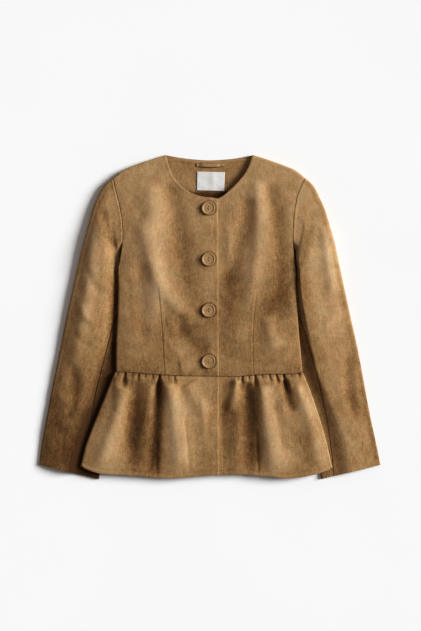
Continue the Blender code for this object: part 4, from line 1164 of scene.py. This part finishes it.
class SleeveForm:
    """The shape of a flattened sleeve: u runs from its outer edge to its inner fold, v to the cuff."""

    def __init__(self, side):
        table = np.array(SLEEVES[side])
        self.side = side
        self.heights = np.array(SLEEVE_HEIGHTS)
        shares = straight(0.0, 1.0)
        outline = at_share(smooth(table[:, :2]), shares)
        inner = at_share(smooth(table[:, 2:]), shares)
        out = across(outline)
        tip = shoulder_edge(SHOULDERS[side])[1][0]
        turn = ease(shares / 0.10)[:, None]
        self.away = unit(tip * (1.0 - turn) + out * np.sign(out[:, :1]) * side * turn)
        self.radius = np.interp(shares, self.heights[:, 0], self.heights[:, 4])
        back = across(inner)
        self.inwards = -back * np.sign(back[:, :1]) * side
        self.outer_edge = outline - self.away * self.radius[:, None]
        self.inner_edge = inner - self.inwards * INNER_TURN
        hole = armhole_line(side)
        hole = hole + (self.outer_edge[0] - hole[0]) * (1.0 - ease(shares / 0.1))[:, None]
        self.hole = hole + (self.inner_edge[0] - hole[-1]) * ease((shares - 0.72) / 0.28)[:, None]
        self.cuff = straight(self.outer_edge[-1], self.inner_edge[-1])

    def plan(self, u, v):
        """Points seen from above. The sections bow to the hand near the underarm, clear of the inner fold."""
        bow = ROW_BOW * u**2 * (1.0 - u) / BOW_PEAK * ease(v / 0.06) * (1.0 - ease((v - 0.25) / 0.4))
        flat = patch(self.hole, self.cuff, self.outer_edge, self.inner_edge, u, v)
        return flat + bow[..., None] * np.array([self.side, -0.3])

    def press(self, plan):
        """1 where the sleeve lies free, and 0 where the body's edge presses on it."""
        right, left = body_edges(np.minimum(plan[..., 1], ARM_JOIN_Y))
        room = right - plan[..., 0] if self.side == RIGHT else plan[..., 0] - left
        below = 1.0 - ease((plan[..., 1] - ARM_JOIN_Y) / ARM_PRESS)
        slope = np.array(PRESS_SLOPE[self.side])
        return 1.0 - below * (1.0 - ease((room - 1.0) / np.interp(plan[..., 1], slope[:, 0], slope[:, 1])))

    def free_height(self, plan, u, v, press):
        """How high the top side lies, and how far its folds raise it."""
        x, y = plan[..., 0], plan[..., 1]
        rows = self.heights
        outer, middle, inner = (np.interp(v, rows[:, 0], rows[:, k]) for k in (1, 2, 3))
        outer = outer - SLEEVE_ROUND * ease(v / 0.15)
        middle = middle + 0.4 * SLEEVE_ROUND * ease(v / 0.15)
        crests = np.array(SLEEVE_CREST[self.side])
        crest = np.interp(v, crests[:, 0], crests[:, 1])
        rise = (middle - outer) * (1.0 - (1.0 - np.clip(u / crest, 0.0, 1.0)) ** 2)
        fall = (middle - inner) * ease((u - crest) / (1.0 - crest))
        raised = SLEEVE_GAIN * folds(SLEEVE_FOLDS, x, y) + folds(SLEEVE_CREASES, x, y)
        free = outer + rise - fall + raised + unevenness(x, y)
        return PRESSED + (free - PRESSED) * press, raised * press

    def form(self, plan, u, v):
        """The height, brought to the body's at the armhole, and how far the folds raise it."""
        body = front_height(self.hole[:, 0], self.hole[:, 1])
        body = body + unevenness(self.hole[:, 0], self.hole[:, 1])
        seam = np.interp(u, straight(0.0, 1.0), body)
        dive = ease((u - ARM_DIVE[0]) / (ARM_DIVE[1] - ARM_DIVE[0]))
        seam = seam * (1.0 - dive) + PRESSED * dive
        tip = ease(u / 0.12)
        seam = (body[0] - 0.6) * (1.0 - tip) + seam * tip
        free, raised = self.free_height(plan, u, v, self.press(plan))
        return seam + (free - seam) * ease(v / ARM_BLEND), raised * ease(v / ARM_BLEND)

    def width(self, rows):
        edges = self.plan(np.zeros_like(rows), rows), self.plan(np.ones_like(rows), rows)
        return np.linalg.norm(edges[0] - edges[1], axis=1)


def sleeve_light_and_shade(side, u, v):
    """Painted light and shade on a sleeve: darker down the right one, lighter up the left one, painted shadow
    beside the body and painted shade at the left one's outer edge.
    """
    if side == RIGHT:
        start = 0.60 - 0.26 * ease((v - 0.7) / 0.25)
        return 0.03 - 0.24 * ease((v - 0.5) / 0.45) - 0.40 * ease((u - start) / 0.3) * ease((v - 0.18) / 0.3)
    lower = ease((v - 0.45) / 0.5)
    inner = ease((u - 0.46) / 0.30) * ease((v - 0.12) / 0.15)
    edges = 0.13 * (1.0 - ease(u / 0.12)) + 0.10 * ease((u - 0.88) / 0.10) * ease(v / 0.3)
    return 0.12 * (1.0 - lower) - (0.20 - 0.12 * lower) * inner - edges


def sleeve_piece(name, form, rows, top_shares, edge, skin):
    """One of a sleeve's two pieces: its part of the top, a turn and its part of the underside."""
    u = np.array([top_shares(row) for row in rows])
    v = rows[:, None] * np.ones_like(u)
    plan = form.plan(u, v)
    height, raised = form.form(plan, u, v)
    x, y = plan[..., 0], plan[..., 1]
    to_hole = to_border(plan, 0, last=False)
    to_cuff = to_border(plan, 0, last=True)
    to_seam = to_border(plan, 1, last=True)
    free = form.press(plan)
    height = height + free * pucker(x, y, np.minimum(to_hole, to_seam))
    height = height + free * (rim(to_seam, 0.25) + rim(to_hole, 0.5))
    height = height + rim(to_cuff, 0.3) + line_at(to_cuff, CUFF_LINE, HEM_DEPTH)
    height = height - rolled(to_hole, SEAM_ROLL) - rolled(to_seam, SEAM_ROLL) - rolled(to_cuff, EDGE_ROLL)
    # Painted light and shade: highlights on fold ridges, along the cuff and beside the armhole seam, shade in
    # valleys and seams, and the sleeve's own painted light and shade
    tone = fold_light_and_shade(raised) - SEAM_SHADE * bell(np.minimum(to_hole, to_seam), 1.0)
    tone += 0.06 * bell(to_cuff, 1.6) + 0.07 * bell(to_hole - 2.6, 1.3)
    tone += sleeve_light_and_shade(form.side, u, v)
    face = with_height(plan, height)
    half = SEAM_GAP / 2 / form.width(rows)
    wide = form.width(rows).mean()
    if edge == "outer":
        out, radius = at_share(form.away, rows), np.interp(rows, straight(0.0, 1.0), form.radius)
        shares = spaced(HIND_SEAM * wide, BACK_CELL, fine=(HIND_SEAM * wide,))[1:]
        under = [(HIND_SEAM - half) * share for share in shares]
    else:
        out, radius = at_share(form.inwards, rows), np.full(len(rows), INNER_TURN)
        length = (1.0 - HIND_SEAM) * wide
        shares = spaced(length, BACK_CELL, fine=(length,))[1:]
        under = [1.0 + (HIND_SEAM + half - 1.0) * share for share in shares]
    turn = turn_rows(face[:, 0], unit(out), radius, np.zeros(len(rows)))
    below = np.stack([form.plan(share, rows) for share in under], axis=1)
    sunk = rolled(np.minimum(to_border(below, 1, last=True), to_ends(below, 0)), SEAM_ROLL)
    below = with_height(below, sunk + np.maximum(0.35 * unevenness(below[..., 0], below[..., 1]), 0.0))
    whole, tones = wrapped(face, tone, [*turn, *np.moveaxis(below, 1, 0)])
    if (edge == "outer") == (form.side == RIGHT):
        whole, tones = whole[::-1], tones[::-1]
    suede_piece(name, whole, tones, skin)


def sleeve(name, side, skin):
    """A two-piece sleeve, flattened, with its seams on the top and the underside."""
    form = SleeveForm(side)
    seam = np.array(SLEEVE_SEAM)
    rows = spaced(560.0, CELL, fine=(0.0, 560.0))

    def seam_share(row, towards):
        half = SLEEVE_SEAM_HALF * (1.0 + SLEEVE_SEAM_WIDEN * (1.0 - ease(row / 0.25)))
        return np.interp(row, seam[:, 0], seam[:, 1]) + towards * half

    upper_columns = spaced(78.0, CELL, fine=(78.0,))
    under_columns = spaced(26.0, CELL, fine=(26.0,))

    def upper(row):
        return upper_columns * seam_share(row, -1.0)

    def under(row):
        return 1.0 + under_columns * (seam_share(row, 1.0) - 1.0)

    sleeve_piece(name + "_upper_cloth", form, rows, upper, "outer", skin)
    sleeve_piece(name + "_under_cloth", form, rows, under, "inner", skin)


def neck_facing(skin):
    """The facing that backs the neck, laid on the inside of the back."""
    top, foot = even(FACING_TOP), even(FACING_FOOT)
    right, left = straight(foot[0], top[0]), straight(foot[-1], top[-1])
    u, v = np.meshgrid(spaced(180.0, CELL, fine=(0.0, 180.0)), spaced(72.0, CELL, fine=(0.0, 72.0)))
    plan = patch(foot, top, right, left, u, v)
    x, y = plan[..., 0], plan[..., 1]
    to_neck, to_foot = to_border(plan, 0, last=True), to_border(plan, 0, last=False)
    away = np.hypot((x - LABEL["x"]) / 42.0, (y - 270.0) / 44.0)
    height = 2 * WALL + STACK_GAP + 0.5 * np.maximum(wavy(x, y, 26.0, 3.0), 0.0) * ease((away - 0.85) / 0.3)
    height = height - rolled(to_neck, EDGE_ROLL) - rolled(to_foot, 0.7) + line_at(to_neck, 6.0, 0.25)
    # Painted light and shade: a highlight along the rolled neck edge, shade in the stitched line below it,
    # and painted shadow darkening the lower part under the fronts
    tone = 0.47 + 0.08 * bell(to_neck, 1.8) - 0.08 * bell(to_neck - 6.0, 1.0)
    tone -= 0.40 * ease((244.0 - y) / 10.0)
    suede_piece("neck_facing_cloth", with_height(plan, height), tone, skin)


def label_place(u, v):
    """A point of the label's plan: u across and v up, both from -0.5 to 0.5."""
    turn = math.radians(LABEL["turn"])
    x, y = u * LABEL["width"], v * LABEL["height"]
    plan_x = LABEL["x"] + x * math.cos(turn) - y * math.sin(turn)
    plan_y = LABEL["y"] + x * math.sin(turn) + y * math.cos(turn)
    return plan_x, plan_y


def label_height(u, v):
    """The label's height, with a soft crease across it and slightly lifted corners."""
    level = 2 * WALL + 2 * STACK_GAP + LABEL["thick"]
    crease = LABEL_CREASE["rise"] * bell(u - LABEL_CREASE["place"], LABEL_CREASE["width"])
    ripple = 0.18 * np.sin(9.0 * u + 4.0 * v) * np.cos(5.0 * v)
    return level + crease * (0.7 + 0.5 * v) + ripple * (1.0 - np.abs(2.0 * v) ** 4)


def neck_label(skin, thread):
    """A blank label, a little askew, sewn down near its edges."""
    u, v = np.meshgrid(np.linspace(-0.5, 0.5, 53), np.linspace(-0.5, 0.5, 37))
    plan_x, plan_y = label_place(u, v)
    side = np.minimum(0.5 - np.abs(u), 1.0) * LABEL["width"]
    end = (0.5 - np.abs(v)) * LABEL["height"]
    inside = np.minimum(side, end)
    height = label_height(u, v) - rolled(inside, 0.5) + line_at(inside, SEWN_IN, 0.28, 0.7)
    points = np.stack([plan_x, plan_y, height], axis=-1)
    shift = (math.radians(LABEL["turn"]), 210.0)
    piece = cloth_object("label_tape", points, np.full(u.shape, 0.5), skin, shift, thick=LABEL["tape"])
    runs = []
    margin_u, margin_v = SEWN_IN / LABEL["width"], SEWN_IN / LABEL["height"]
    far_u, far_v = 0.5 - margin_u, 0.5 - margin_v
    corners = [(-far_u, far_v), (-far_u, -far_v), (far_u, -far_v), (far_u, far_v)]
    for (au, av), (bu, bv) in zip(corners, corners[1:] + corners[:1]):
        long = math.hypot((bu - au) * LABEL["width"], (bv - av) * LABEL["height"])
        count = round(long / 2.6)
        for k in range(count):
            ends = [(k + 0.14) / count, (k + 0.5) / count, (k + 0.86) / count]
            run = []
            for share, lift in zip(ends, (-0.30, 0.02, -0.30)):
                at = label_place(au + (bu - au) * share, av + (bv - av) * share)
                z = label_height(au + (bu - au) * share, av + (bv - av) * share) + lift
                run.append((*at, float(z)))
            runs.append(run)
    stitches = threads("label_stitches", runs, 0.14, thread)
    stands_for(piece, "neck_label")


def hanger_loop(skin, thread):
    """A narrow strip sewn down at both ends and arched between them."""
    level = 2 * WALL + 2 * STACK_GAP + LOOP["thick"]
    u, v = np.meshgrid(np.linspace(-0.5, 0.5, 61), np.linspace(-0.5, 0.5, 13))
    arch = LOOP_ARCH * ease((0.38 - np.abs(u)) / 0.14)
    sag = LOOP_SAG * (1.0 - (2.0 * u) ** 2)
    x, y = LOOP["x"] + u * LOOP["length"], LOOP["y"] + v * LOOP["width"] + sag
    inside = np.minimum((0.5 - np.abs(u)) * LOOP["length"], (0.5 - np.abs(v)) * LOOP["width"])
    tacks = bell(np.abs(u) - 0.40, 0.014) * 0.3
    height = level + arch - rolled(inside, 0.7) - tacks
    points = np.stack([x, y, height], axis=-1)
    # Painted shade along the strip's edges and at its tacked ends
    tacked_shade = bell(np.abs(u) - 0.36, 0.016)
    tone = 0.52 - 0.30 * bell(inside, 0.7) - 0.25 * tacked_shade
    piece = cloth_object("loop_strip", points, tone, skin, (1.57, 240.0), thick=LOOP["strip"])
    runs = []
    for end in (-0.40, 0.40):
        for k in range(9):
            at = LOOP["x"] + (end + 0.006 * (k % 2)) * LOOP["length"]
            low = LOOP["y"] + LOOP_SAG * (1.0 - (2.0 * end) ** 2) - 2.6 + 0.62 * k
            ends = [(at - 0.5, low, level - 0.3), (at + 0.5, low, level - 0.3)]
            runs.append([ends[0], (at, low + 0.1, level + 0.02), ends[1]])
    tacks = threads("loop_tacks", runs, 0.16, thread)
    stands_for(piece, "hanger_loop")


def threads(name, runs, radius, skin):
    """Short stitches, each a round thread through a few points."""
    curve = bpy.data.curves.new(name, "CURVE")
    curve.dimensions = "3D"
    curve.bevel_depth = radius * MM
    curve.bevel_resolution = 1
    curve.use_fill_caps = True
    for run in runs:
        spline = curve.splines.new("POLY")
        spline.points.add(len(run) - 1)
        places = (np.array(run, float) - ORIGIN) * MM
        for point, place in zip(spline.points, places):
            point.co = (*place, 1.0)
    curve.materials.append(skin)
    obj = placed(name, curve)
    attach(obj, "root")
    return obj


def button_top(radius, x, y):
    """The height of a button's upper face above its foot, with its rim, dish and two holes."""
    profile = np.array(BUTTON_FACE)
    dish = BUTTON_THICK * np.interp(radius / BUTTON_RADIUS, profile[:, 0], profile[:, 1])
    for hole in (-HOLE_SPREAD, HOLE_SPREAD):
        away = np.hypot(x, y - hole)
        dish = dish - PIT_DEPTH * (1.0 - ease((away - PIT_RADIUS + 0.3) / 0.6))
    return dish


def button(number, skin, thread):
    """A turned button with a rim, a dished face and two sewn holes."""
    low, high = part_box(f"button_{number + 1}")
    centre = np.array([(low.x + high.x) / 2, (low.y + high.y) / 2, low.z])
    steps, r, t = BUTTON_STEPS, BUTTON_RADIUS, BUTTON_THICK
    spans = [np.linspace(0.25, 4.0, 16), np.linspace(4.0, 0.6 * r, 5), np.linspace(0.6 * r, r, 22)]
    top_rings = np.unique(np.concatenate(spans))
    angles = np.arange(steps) * 2 * math.pi / steps
    mesh_points, faces = [(0.0, 0.0, float(button_top(0.0, 0.0, 0.0)))], []
    for ring in top_rings:
        x, y = ring * np.cos(angles), ring * np.sin(angles)
        z = button_top(np.full(steps, ring), x, y)
        mesh_points += list(zip(x, y, z))
    for ring, z in BUTTON_FOOT:
        mesh_points += [(ring * r * math.cos(a), ring * r * math.sin(a), z * t) for a in angles]
    mesh_points.append((0.0, 0.0, 0.0))
    rings = (len(mesh_points) - 2) // steps
    for k in range(steps):
        after = (k + 1) % steps
        faces.append((0, 1 + k, 1 + after))
        for ring in range(rings - 1):
            a, b = 1 + ring * steps, 1 + (ring + 1) * steps
            faces.append((a + k, b + k, b + after, a + after))
        a = 1 + (rings - 1) * steps
        faces.append((a + after, a + k, len(mesh_points) - 1))
    mesh = bpy.data.meshes.new(f"turned_button_{number + 1}")
    mesh.from_pydata([tuple(centre + np.array(p) * MM) for p in mesh_points], [], faces)
    mesh.materials.append(skin)
    mesh.shade_smooth()
    stands_for(placed(mesh.name, mesh), f"button_{number + 1}")
    middle = centre / MM + ORIGIN
    runs = []
    for k in (-1, 0, 1):
        across_by = 0.42 * k
        run = []
        for share in np.linspace(-1.0, 1.0, 7):
            lift = 0.72 * t + 0.34 - 1.1 * abs(share) ** 4
            x = across_by * (1.0 - 0.3 * share**2)
            run.append(tuple(middle + np.array([x, share * HOLE_SPREAD * 1.05, lift])))
        runs.append(run)
    threads(f"button_{number + 1}_thread", runs, THREAD, thread)


def pressed_front(x, y):
    """The height of the right front's outer side, with the buttons pressing on it."""
    return under_buttons(x, y, front_height(x, y) + unevenness(x, y))


def buttonhole(number, skin):
    """Close stitches along both sides of a slit, from its end to under the button."""
    y = button_places()[number]
    start, end, half = BUTTONHOLE["start"], BUTTONHOLE["end"], BUTTONHOLE["half"]
    count = round((end - start) / BUTTONHOLE["pitch"])
    runs = []
    for k in range(count):
        x = start + (k + 0.5) * (end - start) / count
        for side in (-1.0, 1.0):
            reach = [(0.15, -0.15), (0.4, 0.20), (0.75, 0.22), (1.0, -0.12)]
            runs.append([(x + 0.08 * side, y + side * half * 1.15 * share, lift) for share, lift in reach])
    for k in range(5):
        at = y + (k - 2) * 0.5
        runs.append([(start - 1.0, at, -0.12), (start - 0.3, at, 0.26), (start + 0.4, at, -0.05)])
    places = np.array([place for run in runs for place in run])
    places[:, 2] += pressed_front(places[:, 0], places[:, 1])
    ends = np.cumsum([len(run) for run in runs])[:-1]
    threads(f"buttonhole_{number + 1}", np.split(places, ends), BUTTONHOLE["thread"], skin)


class Nodes:
    """Short calls to make and join the nodes of one material."""

    def __init__(self, name):
        self.made = bpy.data.materials.new(name)
        self.made.use_nodes = True
        self.tree = self.made.node_tree
        self.shader = self.tree.nodes["Principled BSDF"]

    def add(self, kind, settings=None, **values):
        node = self.tree.nodes.new(kind)
        for key, value in (settings or {}).items():
            setattr(node, key, value)
        for key, value in values.items():
            node.inputs[key.replace("_", " ")].default_value = value
        return node

    def join(self, source, target, into):
        self.tree.links.new(source, target.inputs[into])

    def sum(self, first, second, factor):
        """first + second * factor, where the first two are sockets."""
        node = self.add("ShaderNodeMath", {"operation": "MULTIPLY_ADD"})
        node.inputs[1].default_value = factor
        self.tree.links.new(second, node.inputs[0])
        self.tree.links.new(first, node.inputs[2])
        return node.outputs[0]

    def noise(self, place, size, detail=2.0, roughness=0.55):
        """Noise whose grain is so many millimetres."""
        node = self.add("ShaderNodeTexNoise", Scale=1000.0 / size, Detail=detail, Roughness=roughness)
        self.join(place, node, "Vector")
        return node.outputs[0]

    def centred(self, socket):
        node = self.add("ShaderNodeMath", {"operation": "SUBTRACT"})
        node.inputs[1].default_value = 0.5
        self.tree.links.new(socket, node.inputs[0])
        return node.outputs[0]

    def ramp(self, socket, stops):
        node = self.add("ShaderNodeValToRGB")
        ramp = node.color_ramp
        while len(ramp.elements) < len(stops):
            ramp.elements.new(0.5)
        for element, (place, colour) in zip(ramp.elements, stops):
            element.position = place
            element.color = (*colour, 1.0)
        self.join(socket, node, "Fac")
        return node.outputs["Color"]

    def shade(self, socket, into):
        self.join(socket, self.shader, into)

    def bump(self, height, strength, distance):
        """Fine relief in the shading, by a height of so many metres."""
        node = self.add("ShaderNodeBump", Strength=strength, Distance=distance)
        self.join(height, node, "Height")
        self.shade(node.outputs["Normal"], "Normal")

    def fixed(self, **values):
        for key, value in values.items():
            self.shader.inputs[key.replace("_", " ")].default_value = value


def suede_look():
    """Suede cloth: mottled, with faint streaks along the grain, lighter or darker by each piece's tone, which
    carries painted light and shade.
    """
    n = Nodes("suede_look")
    grain = n.add("ShaderNodeAttribute", {"attribute_name": "grain"}).outputs["Vector"]
    # Each piece's tone: painted light and shade, with the suede's brushing
    shade_and_nap = n.add("ShaderNodeAttribute", {"attribute_name": "shade_and_nap"}).outputs["Fac"]
    streak = n.add("ShaderNodeMapping", {"vector_type": "POINT"}, Scale=(1.0, 0.16, 1.0))
    n.join(grain, streak, "Vector")
    level = shade_and_nap
    for place, size, detail, factor in (
        (grain, 75.0, 2.0, 0.30),
        (grain, 21.0, 3.0, 0.20),
        (grain, 7.0, 3.0, 0.22),
        (grain, 2.3, 2.0, 0.36),
        (streak.outputs[0], 2.4, 2.0, 0.28),
        (grain, 0.9, 2.0, 0.30),
    ):
        level = n.sum(level, n.centred(n.noise(place, size, detail)), factor)
    colour = n.ramp(level, [
        (0.04, (0.045, 0.019, 0.005)),
        (0.28, (0.152, 0.076, 0.026)),
        (0.50, (0.302, 0.180, 0.080)),
        (0.72, (0.425, 0.280, 0.150)),
        (0.96, (0.540, 0.380, 0.222)),
    ])
    tint = n.ramp(n.noise(grain, 31.0, 2.0), [(0.34, (1.025, 0.98, 0.94)), (0.66, (0.98, 1.01, 1.01))])
    mix = n.add("ShaderNodeMix", {"data_type": "RGBA", "blend_type": "MULTIPLY"})
    mix.inputs["Factor"].default_value = 1.0
    n.tree.links.new(colour, mix.inputs["A"])
    n.tree.links.new(tint, mix.inputs["B"])
    n.shade(mix.outputs["Result"], "Base Color")
    rough = n.sum(n.noise(grain, 1.1, 3.0), n.noise(grain, 5.0, 3.0), 0.8)
    n.bump(rough, 0.55, 0.00035)
    n.fixed(Roughness=0.95, Specular_IOR_Level=0.15)
    n.fixed(Sheen_Weight=0.12, Sheen_Roughness=0.5, Sheen_Tint=(1.0, 0.80, 0.58, 1.0))
    return n.made


def button_look():
    """Dyed plastic with a soft sheen and slight cloudiness."""
    n = Nodes("button_look")
    place = n.add("ShaderNodeTexCoord").outputs["Object"]
    cloud = n.sum(n.noise(place, 6.0, 3.0), n.centred(n.noise(place, 0.9, 2.0)), 0.35)
    colour = n.ramp(cloud, [
        (0.25, (0.255, 0.150, 0.064)),
        (0.55, (0.335, 0.207, 0.094)),
        (0.85, (0.410, 0.264, 0.130)),
    ])
    n.shade(colour, "Base Color")
    n.bump(n.noise(place, 0.7, 3.0), 0.25, 0.0001)
    n.fixed(Roughness=0.46, Specular_IOR_Level=0.4)
    return n.made


def thread_look(name, dark, light):
    """Twisted sewing thread."""
    n = Nodes(name)
    place = n.add("ShaderNodeTexCoord").outputs["Object"]
    colour = n.ramp(n.noise(place, 0.5, 2.0), [(0.3, dark), (0.7, light)])
    n.shade(colour, "Base Color")
    n.fixed(Roughness=0.6, Sheen_Weight=0.2, Specular_IOR_Level=0.3)
    return n.made


def label_look():
    """Pale woven tape with fine ribs."""
    n = Nodes("label_look")
    grain = n.add("ShaderNodeAttribute", {"attribute_name": "grain"}).outputs["Vector"]
    across = n.add("ShaderNodeMapping", Scale=(1.0, 0.06, 1.0))
    n.join(grain, across, "Vector")
    along_it = n.add("ShaderNodeMapping", Scale=(0.06, 1.0, 1.0))
    n.join(grain, along_it, "Vector")
    weave = n.sum(n.noise(across.outputs[0], 0.5), n.noise(along_it.outputs[0], 0.6), 1.0)
    level = n.sum(n.centred(weave), n.centred(n.noise(grain, 9.0, 3.0)), 0.5)
    colour = n.ramp(level, [
        (0.1, (0.52, 0.505, 0.475)),
        (0.5, (0.61, 0.595, 0.57)),
        (0.9, (0.69, 0.68, 0.66)),
    ])
    n.shade(colour, "Base Color")
    n.bump(weave, 0.5, 0.0001)
    n.fixed(Roughness=0.8, Sheen_Weight=0.15, Specular_IOR_Level=0.25)
    return n.made


def floor():
    """The pale surface that the jacket lies on."""
    mesh = bpy.data.meshes.new("floor")
    corners = [(a * FLOOR_HALF, b * FLOOR_HALF, 0) for a, b in ((-1, -1), (1, -1), (1, 1), (-1, 1))]
    mesh.from_pydata(corners, [], [(0, 1, 2, 3)])
    n = Nodes("floor_look")
    place = n.add("ShaderNodeTexCoord").outputs["Object"]
    colour = n.ramp(n.noise(place, 400.0), [(0.3, (0.80, 0.80, 0.80)), (0.7, (0.81, 0.81, 0.81))])
    n.shade(colour, "Base Color")
    n.fixed(Roughness=0.9, Specular_IOR_Level=0.1)
    mesh.materials.append(n.made)
    obj = placed("floor", mesh)
    obj.location.z = -FLOOR_GAP


def lights():
    """A wide soft light from the right and above, and even light from all round."""
    light = bpy.data.lights.new("key", "SUN")
    light.angle = math.radians(KEY["spread"])
    light.energy = KEY["strength"]
    light.color = KEY["colour"]
    obj = placed("key", light)
    up, turn = math.radians(KEY["elevation"]), math.radians(KEY["azimuth"])
    obj.location = Vector((math.cos(up) * math.cos(turn), math.cos(up) * math.sin(turn), math.sin(up)))
    obj.rotation_euler = (-obj.location).to_track_quat("-Z", "Y").to_euler()
    world = bpy.data.worlds.new("room")
    world.use_nodes = True
    world.node_tree.nodes["Background"].inputs["Color"].default_value = (*WORLD["colour"], 1.0)
    world.node_tree.nodes["Background"].inputs["Strength"].default_value = WORLD["strength"]
    bpy.context.scene.world = world


def camera():
    """Straight above the jacket, as in the photograph."""
    data = bpy.data.cameras.new("camera")
    data.sensor_width = SENSOR
    data.lens = SENSOR * CAMERA_HEIGHT / VIEW_LENGTH
    obj = placed("camera", data)
    obj.location = (*VIEW_CENTRE, CAMERA_HEIGHT)
    bpy.context.scene.camera = obj


def main():
    suede, plastic, tape = suede_look(), button_look(), label_look()
    thread = thread_look("thread_look", (0.20, 0.11, 0.05), (0.36, 0.22, 0.11))
    pale = thread_look("label_thread_look", (0.50, 0.47, 0.43), (0.72, 0.70, 0.66))
    for name, side in NAMES.items():
        front_panel(f"front_{name}_cloth", side, suede)
    back_panel(suede)
    for name, side in NAMES.items():
        peplum_front(f"peplum_{name}_cloth", side, suede)
    peplum_back(suede)
    for name, side in NAMES.items():
        sleeve(f"{name}_sleeve", side, suede)
    neck_facing(suede)
    neck_label(tape, pale)
    hanger_loop(suede, thread)
    for number in range(BUTTON_COUNT):
        button(number, plastic, thread)
        buttonhole(number, thread)
    floor()
    lights()
    camera()
    bpy.context.scene.view_settings.view_transform = "Standard"
    bpy.context.scene.view_settings.gamma = GAMMA


main()
